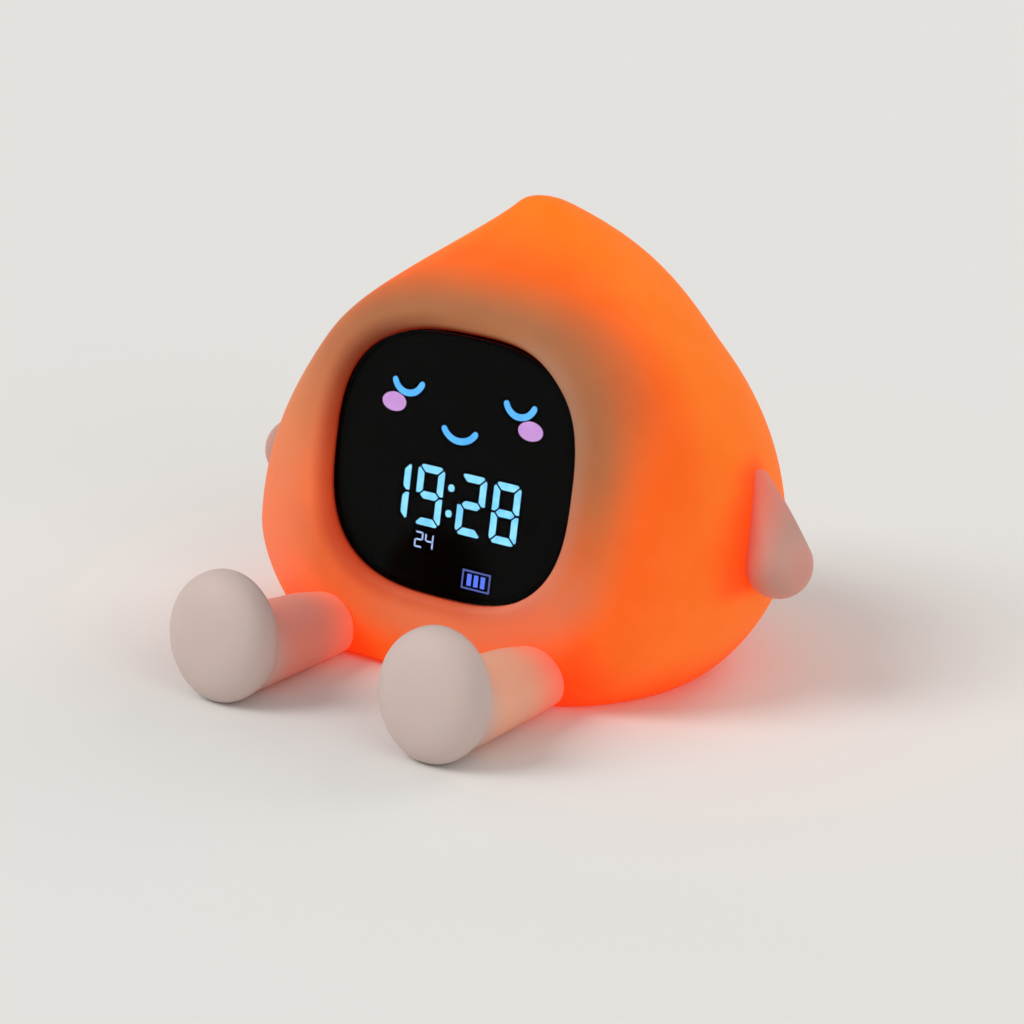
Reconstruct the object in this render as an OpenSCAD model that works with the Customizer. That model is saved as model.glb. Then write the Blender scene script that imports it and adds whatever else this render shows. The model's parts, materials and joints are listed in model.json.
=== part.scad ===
// Bedside clock and night light: a hollow silicone drop that sits on its base with two
// legs stretched out in front, a segment display in its face and five keys at the back.
// The front faces -Y, +Z is up, and the origin is the middle of the footprint on the table.

/* [Soft body] */
// Radius of the body at its widest
body_r = 59.6; // [50:0.1:75]
// Height of the body from the table to its tip
body_h = 103; // [96:0.5:125]
// Height at which the body is widest
widest_z = 25; // [20:0.5:34]
// Radius of the flat ring that the body stands on
stand_r = 42.8; // [38:0.1:46]
// Radius of the rounded tip
tip_r = 10.2; // [7:0.1:14]
// Slope of the shoulder where it runs into the tip, in degrees
tip_slope = 37; // [30:1:46]
// How far the neck under the tip leans to the back
neck_lean = 5.8; // [0:0.1:9]
// Wall of the silicone
skin_t = 2.4; // [1.6:0.1:3]
// Wall of the silicone in the flat face round the display
face_wall = 3.6; // [3:0.1:4.5]
// Radius of the round opening in the underside
floor_opening_r = 32; // [28:0.1:34]

/* [Face] */
// Distance from the body's axis to the front of the lens
face_d = 30.2; // [27:0.1:34]
// Height of the lens centre above the table
face_z = 47.5; // [44:0.1:52]
// How far the face leans back, in degrees
face_tilt = 6.5; // [0:0.5:12]
// Half width of the lens opening
lens_w = 31.1; // [28:0.1:33]
// Half height of the lens opening
lens_h = 29; // [26:0.1:30]
// Squareness of the lens outline, 2 is an ellipse
lens_n = 2.8; // [2.2:0.1:4]
// How far the soft face stands out in front of the lens
lip_rise = 2; // [1:0.1:3.5]
// Width of the soft pad round the lens
pad_margin = 9.8; // [6:0.1:12]

/* [Limbs] */
// Half distance between the two feet
foot_x = 27; // [22:0.1:32]
// Distance from the body's axis to the middle of a foot
foot_y = 74.6; // [68:0.1:90]
// Half width of a foot
foot_w = 12.5; // [10:0.1:14]
// Half thickness of a foot, front to back
foot_t = 7.4; // [5:0.1:9]
// Fullness of a foot's rim, 2 is an ellipse
foot_n = 2.5; // [2:0.1:3.5]
// Half height of a foot
foot_h = 14.5; // [11:0.1:17]
// Radius of a leg just behind its foot
leg_r = 9.1; // [8:0.1:11]
// Radius of the round hand at the end of an arm
hand_r = 7.5; // [5:0.1:9]
// Height of the middle of the hand
hand_z = 32; // [27:0.1:38]
// How far the middle of the hand lies outside the body's widest radius
hand_out = 4.7; // [2:0.1:7]
// Radius of an arm at its shoulder
shoulder_r = 2.4; // [2:0.1:4]
// Height of the shoulder
shoulder_z = 48; // [44:0.1:54]

/* [Display] */
// Thickness of the lens
lens_t = 1.2; // [0.8:0.1:2]
// Thickness of the opaque display mask
mask_t = 4; // [3:0.1:5]
// Height of a time digit
digit_h = 13.4; // [10:0.1:15]
// Width of a time digit
digit_w = 6.9; // [5.5:0.1:8]
// Width of one segment of a time digit
segment_w = 1.6; // [1.2:0.05:2.2]
// Distance from one digit to the next in a pair
digit_pitch = 8.75; // [8:0.05:9.5]
// Extra room for the colon between the pairs
colon_room = 2.15; // [1.5:0.05:3]
// Sideways place of the middle of the time
time_u = -0.5; // [-1:0.1:1]
// Height of the middle of the time above the lens centre
time_v = -7.6; // [-10:0.1:-5]
// Half distance between the two eye arcs
eye_u = 14.4; // [12:0.1:16]
// Half distance between the two cheeks
cheek_u = 17.6; // [15:0.1:19]
// Width of the lit line of eyes and mouth
line_w = 1.4; // [0.7:0.05:1.8]

/* [Keys and socket] */
// Half width of the control panel at the back
panel_w = 20; // [19:0.1:24]
// Half height of the control panel, and the radius of its ends
panel_h = 12; // [11:0.1:14]
// Height of the middle of the control panel
panel_z = 26; // [24:0.1:30]
// Radius of a key
key_r = 2.6; // [2:0.1:2.8]
// Distance from one key to the next
key_pitch = 6.4; // [6.2:0.1:7]
// How far a key stands out of the panel
key_rise = 1.4; // [0.8:0.1:2]
// Travel of a key
key_travel = 0.7; // [0.4:0.1:1]
// Travel of the power slider from off to on
slider_travel = 2.5; // [2:0.1:3]

/* [Chassis] */
// Thickness of the tray floor and of its wall
tray_t = 2; // [1.6:0.1:3]
// Outer radius of the tray
tray_r = 35.4; // [34.6:0.1:36]
// Height of the tray wall above its floor
tray_wall_h = 7; // [4:0.1:9]
// Thickness of the base cover
cover_t = 1.8; // [1.6:0.1:2.2]
// Thickness of a rubber pad
pad_t = 1.4; // [1:0.1:1.6]
// Radius of the lithium cell
cell_r = 9.2; // [8:0.1:9.3]
// Length of the lithium cell
cell_l = 65; // [50:0.5:65]
// Radius of the speaker
speaker_r = 13.5; // [11:0.1:14]
// Thickness of the circuit boards
board_t = 1.6; // [1:0.1:2]

/* [Hidden] */

// Fits
gap = 0.1;            // between rigid pieces that seat on each other
soft_gap = 0.2;       // between silicone and what it meets
limb_gap = 0.25;      // between a limb and the body it is moulded to
run_gap = 0.09;       // round a key in its hole
fine = 48;            // sides of a smooth round
eps = 0.01;

// Body form: columns round the axis and steps up the profile
columns = 44;
low_steps = 7;
high_steps = 15;
tip_steps = 4;
under_steps = 2;
under_r = 37;         // where the rings of the underside end
stand_pull = 5.5;     // handle of the profile curve at the stand
widest_pull = 10.2;   // handle below the widest point
shoulder_pull = 44.4; // handle above the widest point
tip_pull = 19.7;      // handle below the tip
face_blend = 11.4;    // sharpness of the edge between body and face
pad_blend = 6.7;      // sharpness of the pad's own edge
pad_merge = 17;       // sharpness where pad and body merge
lean_from = 25.5;     // height above the form's centre at which the neck starts to lean
grazing = 0.05;       // rays flatter than this never meet the face

// The body's axis stands behind the middle of the footprint
axis_y = (foot_y + foot_t - body_r) / 2;
core_z = face_z - face_d * tan(face_tilt);
face_n = [0, -cos(face_tilt), sin(face_tilt)];
face_v = [0, sin(face_tilt), cos(face_tilt)];

module placed() {
    translate([0, axis_y, 0]) children();
}

// Local frame of the face: x to the right, y up the face, z out of it, 0 at the lens front
module on_face() {
    placed() translate([0, -face_d, face_z]) rotate([90 - face_tilt, 0, 0]) children();
}

// ---- Body form ----

function bezier(p, t) =
    pow(1 - t, 3) * p[0] + 3 * pow(1 - t, 2) * t * p[1]
    + 3 * (1 - t) * t * t * p[2] + pow(t, 3) * p[3];

tip_start = [tip_r * sin(tip_slope), body_h - tip_r + tip_r * cos(tip_slope)];
low_curve = [
    [stand_r, 0], [stand_r + stand_pull, 0],
    [body_r, widest_z - widest_pull], [body_r, widest_z]
];
high_curve = [
    [body_r, widest_z], [body_r, widest_z + shoulder_pull],
    tip_start + tip_pull * [cos(tip_slope), -sin(tip_slope)], tip_start
];

// Profile from the tip down to the stand, without the tip's own point
profile = concat(
    [for (i = [1:tip_steps]) let (a = tip_slope * i / tip_steps)
        [tip_r * sin(a), body_h - tip_r + tip_r * cos(a)]],
    [for (i = [1:high_steps]) bezier(high_curve, 1 - i / high_steps)],
    [for (i = [1:low_steps]) bezier(low_curve, 1 - i / low_steps)],
    [for (i = [1:under_steps]) [stand_r - (stand_r - under_r) * i / under_steps, 0]]
);

// Point of the form on the ray through profile point q at azimuth a, moved in by inset,
// with the flat face moved in by face_inset and the underside raised to floor_z
function form_point(q, a, inset, face_inset, floor_z) =
    let (
        ray = [q[0] * sin(a), -q[0] * cos(a), q[1] - core_z],
        u = ray / norm(ray),
        rho = norm(ray) - inset,
        c = u * face_n,
        meets = c > grazing,
        far = (face_d * cos(face_tilt) + face_d * sin(face_tilt) * tan(face_tilt)
            + lip_rise - face_inset) / max(c, grazing),
        side = pow(pow(abs(u[0] * far) / (lens_w + pad_margin - inset), lens_n)
            + pow(abs(u * face_v * far) / (lens_h + pad_margin - inset), lens_n), 1 / lens_n),
        cut = meets ? rho / pow(1 + pow(rho / far, face_blend), 1 / face_blend) : rho,
        pad = meets ? far / pow(1 + pow(side, pad_blend), 1 / pad_blend) : 0,
        r = cut * pow(1 + pow(pad / cut, pad_merge), 1 / pad_merge),
        p = u * r + [0, 0, core_z],
        s = min(1, max(0, (p[2] - core_z - lean_from) / (body_h - core_z - lean_from))),
        sway = neck_lean * 6.75 * s * s * (1 - s)
    )
    [p[0], p[1] + sway, max(p[2], floor_z)];

function form_rings(inset, face_inset, floor_z, first = 0, last = len(profile) - 1) = [
    for (i = [first:last]) let (q = profile[i]) [
        for (j = [0:columns - 1]) form_point(q, 360 * j / columns, inset, face_inset, floor_z)
    ]
];

function flat_ring(r, z) = [
    for (j = [0:columns - 1]) let (a = 360 * j / columns) [r * sin(a), -r * cos(a), z]
];

function reversed(list) = [for (i = [len(list) - 1:-1:0]) list[i]];

// Closed skin through a list of equal rings, from a first to a last pole
module lofted(first, rings, last) {
    n = len(rings[0]);
    m = len(rings);
    points = concat([first], [for (ring = rings) each ring], [last]);
    function at(i, j) = 1 + i * n + j % n;
    faces = concat(
        [for (j = [0:n - 1]) [0, at(0, j + 1), at(0, j)]],
        [for (i = [0:m - 2], j = [0:n - 1]) each [
            [at(i, j), at(i, j + 1), at(i + 1, j + 1)],
            [at(i, j), at(i + 1, j + 1), at(i + 1, j)]
        ]],
        [for (j = [0:n - 1]) [at(m - 1, j), at(m - 1, j + 1), m * n + 1]]
    );
    polyhedron(points = points, faces = faces, convexity = 6);
}

// A stretch of the form as one solid, grown all round, used to trim the limbs to it
module form_solid(grow, first, last) {
    rings = form_rings(-grow, -grow, -grow, first, last);
    lofted([0, 0, rings[0][0][2]], rings, [0, 0, rings[last - first][0][2]]);
}

// ---- Silicone ----

module stadium(w, h, t) {
    linear_extrude(t) union() {
        square([2 * (w - h), 2 * h], center = true);
        translate([w - h, 0]) circle(h, $fn = fine);
        translate([h - w, 0]) circle(h, $fn = fine);
    }
}

function superellipse(w, h, n, sides) = [
    for (i = [0:sides - 1]) let (a = 360 * i / sides, c = cos(a), s = sin(a))
        [w * sign(c) * pow(abs(c), 2 / n), h * sign(s) * pow(abs(s), 2 / n)]
];

lens_sides = 56;

module lens_prism(grow, low, high) {
    translate([0, 0, low]) linear_extrude(high - low)
        polygon(superellipse(lens_w + grow, lens_h + grow, lens_n, lens_sides));
}

face_reach = 20;      // how far the lens opening's cutter runs past the soft face
face_depth = 8;       // how far it runs in behind the lens front

module silicone_skin() {
    outer = form_rings(0, 0, 0);
    inner = reversed(form_rings(skin_t, face_wall, skin_t));
    color("#FF7A2E") difference() {
        placed() lofted(
            [0, 0, body_h],
            concat(outer, [flat_ring(floor_opening_r, 0), flat_ring(floor_opening_r, skin_t)],
                inner),
            [0, 0, body_h - skin_t]
        );
        on_face() lens_prism(0, -face_depth, face_reach);
        placed() translate([0, body_r + eps, panel_z]) rotate([90, 0, 0])
            stadium(panel_w + soft_gap, panel_h + soft_gap, body_r - panel_back_y + key_room);
    }
}

// ---- Limbs ----

limb_sides = 24;
foot_turn = 125;      // how far round the foot's section before the leg takes over
foot_steps = 9;
// Leg stations behind the foot: share of the way to the leg's end, and share of leg_r
leg_end_y = 29;
leg_stations = [[0.14, 1.03], [0.2, 1.01], [0.45, 0.96], [0.65, 0.9], [0.82, 0.81], [1, 0.6]];

// Share of a foot's half size, swollen from a circle's to its fullness
function full(share) = pow(share, 2 / foot_n);

function leg_ring(x, y, rx, rz, z) = [
    for (j = [0:limb_sides - 1]) let (a = 360 * j / limb_sides)
        [x + rx * cos(a), -y, z + rz * sin(a)]
];

module leg(side) {
    x = side * foot_x;
    span = foot_y - leg_end_y;
    end_r = leg_r * leg_stations[len(leg_stations) - 1][1];
    rings = concat(
        [for (i = [1:foot_steps]) let (a = foot_turn * i / foot_steps, c = cos(a), r = full(sin(a)))
            leg_ring(x, foot_y + foot_t * sign(c) * full(abs(c)), foot_w * r, foot_h * r, foot_h)],
        [for (s = leg_stations) let (r = leg_r * s[1])
            leg_ring(x, foot_y - span * s[0], r, r, r)]
    );
    color("#E4D2CB") placed() difference() {
        lofted([x, -foot_y - foot_t, foot_h], rings, [x, -leg_end_y + 1, end_r]);
        form_solid(limb_gap, tip_steps + 7, len(profile) - 1);
    }
}

module left_leg() leg(1);
module right_leg() leg(-1);

shoulder_y = 6.5;     // the shoulder sits a little behind the body's axis
hand_y = 1.5;
shoulder_in = 4.1;    // how far the shoulder's middle lies inside the widest radius

module arm(side) {
    color("#E4D2CB") placed() difference() {
        hull() {
            translate([side * (body_r - shoulder_in), shoulder_y, shoulder_z])
                sphere(shoulder_r, $fn = limb_sides);
            translate([side * (body_r + hand_out), hand_y, hand_z]) sphere(hand_r, $fn = limb_sides);
        }
        form_solid(limb_gap, tip_steps + 4, tip_steps + high_steps + low_steps - 2);
    }
}

module left_arm() arm(1);
module right_arm() arm(-1);

// ---- Display ----

mask_z = -lens_t - gap;               // front of the mask
guide_t = 3;                          // depth of the light guides in the mask
board_z = mask_z - mask_t - gap;      // front of the display board
window_gap = 0.06;                    // round each light guide
chip = [1, 0.7, 0.45];                // one surface-mounted light
screw_r = 1;                          // shank of a small screw
head_r = 2;                           // its head
head_h = 1.2;

module display_lens() {
    color("#101014") on_face() lens_prism(-soft_gap, -lens_t, 0);
}

// Outlines of a digit's top, upper right and middle segments, mitred where they meet.
// Half width x and half height y of the digit, line width s, corner cut c, half gap g
function top_segment(x, y, s, c, g) = [
    [c + g - x, y], [x - c - g, y], [x - c / 2 - g, y - c / 2],
    [x - s - g, y - s], [s + g - x, y - s], [c / 2 + g - x, y - c / 2]
];
function side_segment(x, y, s, c, g) = [
    [x - s, y - s - g], [x - c / 2, y - c / 2 - g], [x, y - c - g],
    [x, g], [x - s / 2, g], [x - s, s / 2 + g]
];
function mid_segment(x, s, g) = [
    [s / 2 + g - x, 0], [s + g - x, s / 2], [x - s - g, s / 2],
    [x - s / 2 - g, 0], [x - s - g, -s / 2], [s + g - x, -s / 2]
];

// Segments a to g: which outline, and how it is turned over across x and y
segment_kinds = [
    [0, 1, 1], [1, 1, 1], [1, 1, -1], [0, 1, -1], [1, -1, -1], [1, -1, 1], [2, 1, 1]
];
segment_gap = 0.2;                    // half gap between segments, as a share of their width
corner_cut = 0.5;                     // cut of a digit's corner, as a share of that width

// Centres of the seven segments a to g, and whether each stands upright
function segment_places(w, h, s) = [
    [0, (h - s) / 2, 0], [(w - s) / 2, (h - s) / 4, 1], [(w - s) / 2, -(h - s) / 4, 1],
    [0, -(h - s) / 2, 0], [-(w - s) / 2, -(h - s) / 4, 1], [-(w - s) / 2, (h - s) / 4, 1],
    [0, 0, 0]
];

// The segments of one digit whose mark in shown is wanted
module digit(shown, wanted, w, h, s, grow) {
    x = w / 2 + grow;
    y = h / 2 + grow;
    line = s + 2 * grow;
    cut = corner_cut * s;
    g = segment_gap * s - grow * sqrt(2);
    outlines = [top_segment(x, y, line, cut, g), side_segment(x, y, line, cut, g),
        mid_segment(x, line, g)];
    for (i = [0:6]) if (shown[i] == wanted) let (kind = segment_kinds[i])
        polygon([for (p = outlines[kind[0]]) [kind[1] * p[0], kind[2] * p[1]]]);
}

shape_1 = [0, 1, 1, 0, 0, 0, 0];
shape_2 = [1, 1, 0, 1, 1, 0, 1];
shape_4 = [0, 1, 1, 0, 0, 1, 1];
shape_8 = [1, 1, 1, 1, 1, 1, 1];
shape_9 = [1, 1, 1, 1, 0, 1, 1];
time_shown = [shape_1, shape_9, shape_2, shape_8];
function digit_u(i) = time_u + (i - 1.5) * digit_pitch + (i < 2 ? -1 : 1) * colon_room / 2;

module time_digits(wanted, grow) {
    for (i = [0:3]) translate([digit_u(i), time_v])
        digit(time_shown[i], wanted, digit_w, digit_h, segment_w, grow);
}

colon_v = 2.85;       // half distance between the colon's dots
colon_r = 0.8;

module colon(t, grow) {
    for (v = [-colon_v, colon_v]) translate([time_u, time_v + v, 0])
        cylinder(t, r = colon_r + grow, $fn = 24);
}

arc_steps = 16;
cap_steps = 4;
cap_in = 30;          // a round end's first point, in degrees past the line's corner

function arc_run(c, r, from, to, steps) =
    [for (i = [0:steps]) let (a = from + (to - from) * i / steps) c + r * [cos(a), sin(a)]];

// Outline of an arc that hangs below its two ends, with round ends: half width, sag, line
function arc_outline(half, sag, w) =
    let (
        r = (half * half + sag * sag) / (2 * sag),
        c = [0, r],
        lean = asin(half / r),
        left = -90 - lean,
        right = -90 + lean
    )
    concat(
        arc_run(c, r + w / 2, left, right, arc_steps),
        arc_run(c + r * [cos(right), sin(right)], w / 2,
            right + cap_in, right + 180 - cap_in, cap_steps),
        arc_run(c, r - w / 2, right, left, arc_steps),
        arc_run(c + r * [cos(left), sin(left)], w / 2,
            left + 180 + cap_in, left + 360 - cap_in, cap_steps)
    );

eye_half = 3.5;
eye_sag = 2.4;
eye_v = 13.75;
mouth_half = 4;
mouth_sag = 2.15;
mouth_v = 5.7;
cheek_w = 3.1;
cheek_h = 2.1;
cheek_v = 11.3;

module face_lines(t, grow) {
    w = line_w + 2 * grow;
    linear_extrude(t) {
        for (u = [-eye_u, eye_u]) translate([u, eye_v]) polygon(arc_outline(eye_half, eye_sag, w));
        translate([0, mouth_v]) polygon(arc_outline(mouth_half, mouth_sag, w));
    }
}

// The cheeks are flat patches in front of the eye lights' outer ends
module cheeks(t, grow) {
    for (u = [-cheek_u, cheek_u]) translate([u, cheek_v, 0]) linear_extrude(t)
        polygon(superellipse(cheek_w + grow, cheek_h + grow, 2, 32));
}

cell_mark = [3.65, 2.15];             // half size of the battery mark
cell_mark_at = [8.4, -23.7];
mark_line = 0.4;
bar_w = 1.1;
bar_h = 2.6;
bar_pitch = 1.75;
day_w = 2.2;
day_h = 3.6;
day_line = 0.38;
day_pitch = 2.7;
day_at = [-6, -17.6];

module status_bars(t, grow) {
    for (i = [-1:1]) translate([cell_mark_at[0] + i * bar_pitch, cell_mark_at[1], t / 2])
        cube([bar_w + 2 * grow, bar_h + 2 * grow, t], center = true);
}

module status_frame(t, grow) {
    translate([cell_mark_at[0], cell_mark_at[1], 0]) linear_extrude(t) difference() {
        square(2 * (cell_mark + [grow, grow]), center = true);
        square(2 * (cell_mark - [mark_line + grow, mark_line + grow]), center = true);
    }
}

module at_day(i) {
    translate(day_at + [(i - 0.5) * day_pitch, 0]) children();
}

module lit_segments() {
    color("#7FDCFF") on_face() translate([0, 0, mask_z - guide_t]) {
        linear_extrude(guide_t) time_digits(1, 0);
        colon(guide_t, 0);
    }
}

module dark_segments() {
    color("#2A2E33") on_face() translate([0, 0, mask_z - guide_t])
        linear_extrude(guide_t) time_digits(0, 0);
}

module face_segments() {
    color("#5FB4FF") on_face() translate([0, 0, mask_z - guide_t]) face_lines(guide_t, 0);
}

module cheek_segments() {
    color("#C99AD8") on_face() translate([0, 0, mask_z - guide_t]) difference() {
        cheeks(guide_t, 0);
        translate([0, 0, -1]) face_lines(guide_t + 2, 2 * window_gap);
    }
}

module status_segments() {
    color("#6E86FF") on_face() translate([0, 0, mask_z - guide_t]) {
        status_frame(guide_t, 0);
        status_bars(guide_t, 0);
        linear_extrude(guide_t) for (i = [0, 1]) at_day(i)
            digit(i == 0 ? shape_2 : shape_4, 1, day_w, day_h, day_line, 0);
    }
}

mask_grow = -0.5;     // the mask and board are a little smaller than the lens opening
board_grow = -1.3;
display_screw = [22, 20];             // half spacing of the display's four screws

module display_mask() {
    color("#17171A") on_face() difference() {
        lens_prism(mask_grow, mask_z - mask_t, mask_z);
        translate([0, 0, mask_z - mask_t - 1]) {
            t = mask_t + 2;
            linear_extrude(t) time_digits(1, window_gap);
            linear_extrude(t) time_digits(0, window_gap);
            colon(t, window_gap);
            face_lines(t, window_gap);
            cheeks(t, window_gap);
            // The frame of the battery mark and the day stand in shallow pockets
            translate([0, 0, 1 + mask_t - guide_t - gap]) {
                status_frame(t, window_gap);
                linear_extrude(t) for (i = [0, 1]) at_day(i)
                    square([day_w, day_h] + 2 * [window_gap, window_gap], center = true);
            }
            status_bars(t, window_gap);
            for (x = [-1, 1], y = [-1, 1])
                translate([x * display_screw[0], y * display_screw[1], 0])
                    cylinder(3, r = screw_r + window_gap, $fn = 24);
        }
    }
}

function chip_places() = concat(
    [for (i = [0:3], s = segment_places(digit_w, digit_h, segment_w))
        [digit_u(i) + s[0], time_v + s[1], 90 * s[2]]],
    [for (v = [-colon_v, colon_v]) [time_u, time_v + v, 0]],
    [[-eye_u, eye_v, 0], [eye_u, eye_v, 0], [0, mouth_v, 0]],
    [for (u = [-1, 1]) [u * (cheek_u + 1.5), cheek_v, 90]],
    [for (i = [-1:1]) [cell_mark_at[0] + i * bar_pitch, cell_mark_at[1], 90]]
);

module display_leds() {
    color("#F2E9B8") on_face() for (p = chip_places())
        translate([p[0], p[1], board_z + chip[2] / 2]) rotate(p[2]) cube(chip, center = true);
}

module display_board() {
    color("#1F6B3B") on_face() difference() {
        lens_prism(board_grow, board_z - board_t, board_z);
        for (x = [-1, 1], y = [-1, 1])
            translate([x * display_screw[0], y * display_screw[1], board_z - board_t - 1])
                cylinder(board_t + 2, r = screw_r + gap, $fn = 24);
    }
}

frame_wall = 1.4;
frame_front = -2.1;                   // front edge of the frame at its middle
frame_rake = -2.2;                    // the front edge follows the silicone, in degrees
frame_back_t = 1.6;
standoff_h = 3;
frame_back = board_z - board_t - gap - standoff_h;   // inside of the back wall
baffle_z = -8;                        // the collar that keeps the light off the display
baffle_w = 2.4;
strut_x = 15.4;
strut_w = 3;                          // half width of a strut
strut_y = [22, 27.6];                 // back and front of a strut, ahead of the axis
ribbon_slot = [7, 2];                 // half size of the ribbon's slot

module display_frame() {
    floor_z = tray_top + gap;
    color("#EDE6DC") difference() {
        union() {
            on_face() difference() {
                union() {
                    lens_prism(frame_wall, frame_back - frame_back_t, 0);
                    lens_prism(frame_wall + baffle_w, baffle_z - frame_wall, baffle_z);
                }
                lens_prism(0, frame_back, 1);
                translate([0, 0, frame_front]) rotate([frame_rake, 0, 0])
                    translate([0, 0, lens_h]) cube(2 * [lens_w + lens_h, lens_w + lens_h, lens_h],
                        center = true);
            }
            on_face() for (x = [-1, 1], y = [-1, 1])
                translate([x * display_screw[0], y * display_screw[1], frame_back - eps])
                    cylinder(standoff_h + eps, r = head_r + 0.4, $fn = 24);
            placed() for (x = [-strut_x, strut_x])
                translate([x - strut_w, -strut_y[1], floor_z])
                    cube([2 * strut_w, strut_y[1] - strut_y[0], strut_top_z() - floor_z]);
        }
        on_face() for (x = [-1, 1], y = [-1, 1])
            translate([x * display_screw[0], y * display_screw[1], frame_back - 5])
                cylinder(standoff_h + 10, r = screw_r + gap, $fn = 24);
        on_face() translate([0, ribbon_v, frame_back - frame_back_t / 2])
            cube([2 * ribbon_slot[0], 2 * ribbon_slot[1], frame_back_t + 2], center = true);
        placed() for (x = [-strut_x, strut_x]) translate([x, -strut_mid, 0])
            cylinder(frame_screw_top, r = screw_r + window_gap, $fn = 24);
    }
}

// A strut ends inside the frame's bottom wall
function strut_top_z() = face_z - (lens_h + frame_wall / 2) * cos(face_tilt)
    + frame_back * sin(face_tilt);
strut_mid = (strut_y[0] + strut_y[1]) / 2;
frame_screw_top = 12;
post_bore = 9;                        // depth of the bores in the board's posts
panel_bore = 6;                       // depth of the bores in the rear panel's posts
ribbon_v = -12;

module screw(shank_l, head = head_r) {
    translate([0, 0, -shank_l]) cylinder(shank_l + eps, r = screw_r, $fn = 24);
    difference() {
        cylinder(head_h, r = head, $fn = 32);
        translate([0, 0, head_h - 0.5]) {
            cube([2.2, 0.5, 1.2], center = true);
            cube([0.5, 2.2, 1.2], center = true);
        }
    }
}

module display_screws() {
    l = -(frame_back - frame_back_t) + mask_z - mask_t + 2;
    color("#9A9A9E") on_face() for (x = [-1, 1], y = [-1, 1])
        translate([x * display_screw[0], y * display_screw[1], frame_back - frame_back_t - gap])
            rotate([180, 0, 0]) screw(l);
}

module frame_screws() {
    z = tray_z + head_h;
    color("#9A9A9E") placed() for (x = [-strut_x, strut_x]) translate([x, -strut_mid, z])
        rotate([180, 0, 0]) screw(frame_screw_top - z - 1);
}

// ---- Tray and base ----

tray_z = skin_t + soft_gap;           // underside of the tray
tray_top = tray_z + tray_t;           // top of its floor
tray_front = 27.9;                    // the tray is cut straight behind the face
board_at_z = 25;                      // underside of the main board
board_x = 30;                         // half width of the main board
board_y = [-18.5, 22.5];              // its front and back edges
post_places = [[25.5, -15.4], [-25.5, -15.4], [25.5, 19], [-25.5, 19]];
post_r = 3;
base_screw_r = 26;                    // pitch radius of the base screws
boss_h = 6;
cell_y = -3;                          // the cell lies across, just ahead of the axis
cell_z = tray_top + gap + cell_r;
saddle_x = 22;
saddle_t = 3;
speaker_y = 18;
panel_post = [13, 29.3];
panel_post_r = 2.8;

// The tray is a round dish, cut straight and open at the front
module tray_disc(z, h, r, front) {
    translate([0, 0, z]) intersection() {
        cylinder(h, r = r, $fn = 96);
        translate([-tray_r, -front, 0]) cube([2 * tray_r, front + tray_r, h]);
    }
}

module base_tray() {
    color("#F4F1EA") placed() difference() {
        union() {
            difference() {
                tray_disc(tray_z, tray_t + tray_wall_h, tray_r, tray_front);
                tray_disc(tray_top, tray_wall_h + 1, tray_r - tray_t, tray_r);
            }
            for (a = [45:90:315]) rotate(a) translate([base_screw_r, 0, tray_z])
                cylinder(tray_t + boss_h, r = post_r, $fn = 24);
            for (p = post_places) translate([p[0], p[1], tray_z])
                cylinder(board_at_z - gap - tray_z, r = post_r, $fn = 24);
            for (x = [-1, 1]) translate([x * panel_post[0], panel_post[1], tray_z])
                cylinder(shelf_z - gap - tray_z, r = panel_post_r, $fn = 24);
            for (x = [-1, 1]) translate([x * saddle_x - saddle_t / 2, cell_y - cell_r, tray_z])
                cube([saddle_t, 2 * cell_r, cell_z - cell_r / 3 - tray_z]);
        }
        // Bed of the cell
        translate([-tray_r - 1, cell_y, cell_z]) rotate([0, 90, 0])
            cylinder(2 * tray_r + 2, r = cell_r + gap, $fn = 64);
        // Screw bores
        for (a = [45:90:315]) rotate(a) translate([base_screw_r, 0, tray_z - 1])
            cylinder(tray_t + boss_h, r = screw_r + window_gap, $fn = 24);
        for (p = post_places) translate([p[0], p[1], board_at_z - post_bore])
            cylinder(post_bore + 1, r = screw_r + window_gap, $fn = 24);
        for (x = [-1, 1]) translate([x * panel_post[0], panel_post[1], shelf_z - panel_bore])
            cylinder(panel_bore + 1, r = screw_r + window_gap, $fn = 24);
        for (x = [-strut_x, strut_x]) translate([x, -strut_mid, tray_z - 1]) {
            cylinder(1 + head_h + gap, r = head_r + 2 * gap, $fn = 24);
            cylinder(tray_t + 2, r = screw_r + gap, $fn = 24);
        }
        translate([0, speaker_y, tray_z - 1]) cylinder(tray_t + 2, r = speaker_r - 2, $fn = 64);
    }
}

cover_z = tray_z - soft_gap - cover_t;   // underside of the base cover
cover_r = floor_opening_r - 0.3;
pad_recess = pad_t - cover_z;         // the pads stand on the table with the silicone
pad_r = 4;
pad_places = [[25, 0], [-25, 0], [11, -23], [-11, -23]];

module base_cover() {
    color("#F4F1EA") placed() difference() {
        translate([0, 0, cover_z]) cylinder(cover_t, r = cover_r, $fn = 96);
        for (p = pad_places) translate([p[0], p[1], cover_z - 1])
            cylinder(1 + pad_recess, r = pad_r + gap, $fn = 32);
        for (a = [45:90:315]) rotate(a) translate([base_screw_r, 0, cover_z - 1]) {
            cylinder(1 + head_h, r = head_r + 2 * gap, $fn = 24);
            cylinder(cover_t + 2, r = screw_r + gap, $fn = 24);
        }
        // Sound holes under the speaker
        translate([0, speaker_y, cover_z - 1]) {
            cylinder(cover_t + 2, r = 0.9, $fn = 16);
            for (ring = [1:3], k = [0:6 * ring - 1]) rotate(k * 60 / ring)
                translate([ring * 3.1, 0, 0]) cylinder(cover_t + 2, r = 0.9, $fn = 16);
        }
    }
}

module base_pads() {
    color("#8F8F92") placed() for (p = pad_places) translate([p[0], p[1], 0])
        cylinder(pad_t - eps, r = pad_r, $fn = 32);
}

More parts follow.
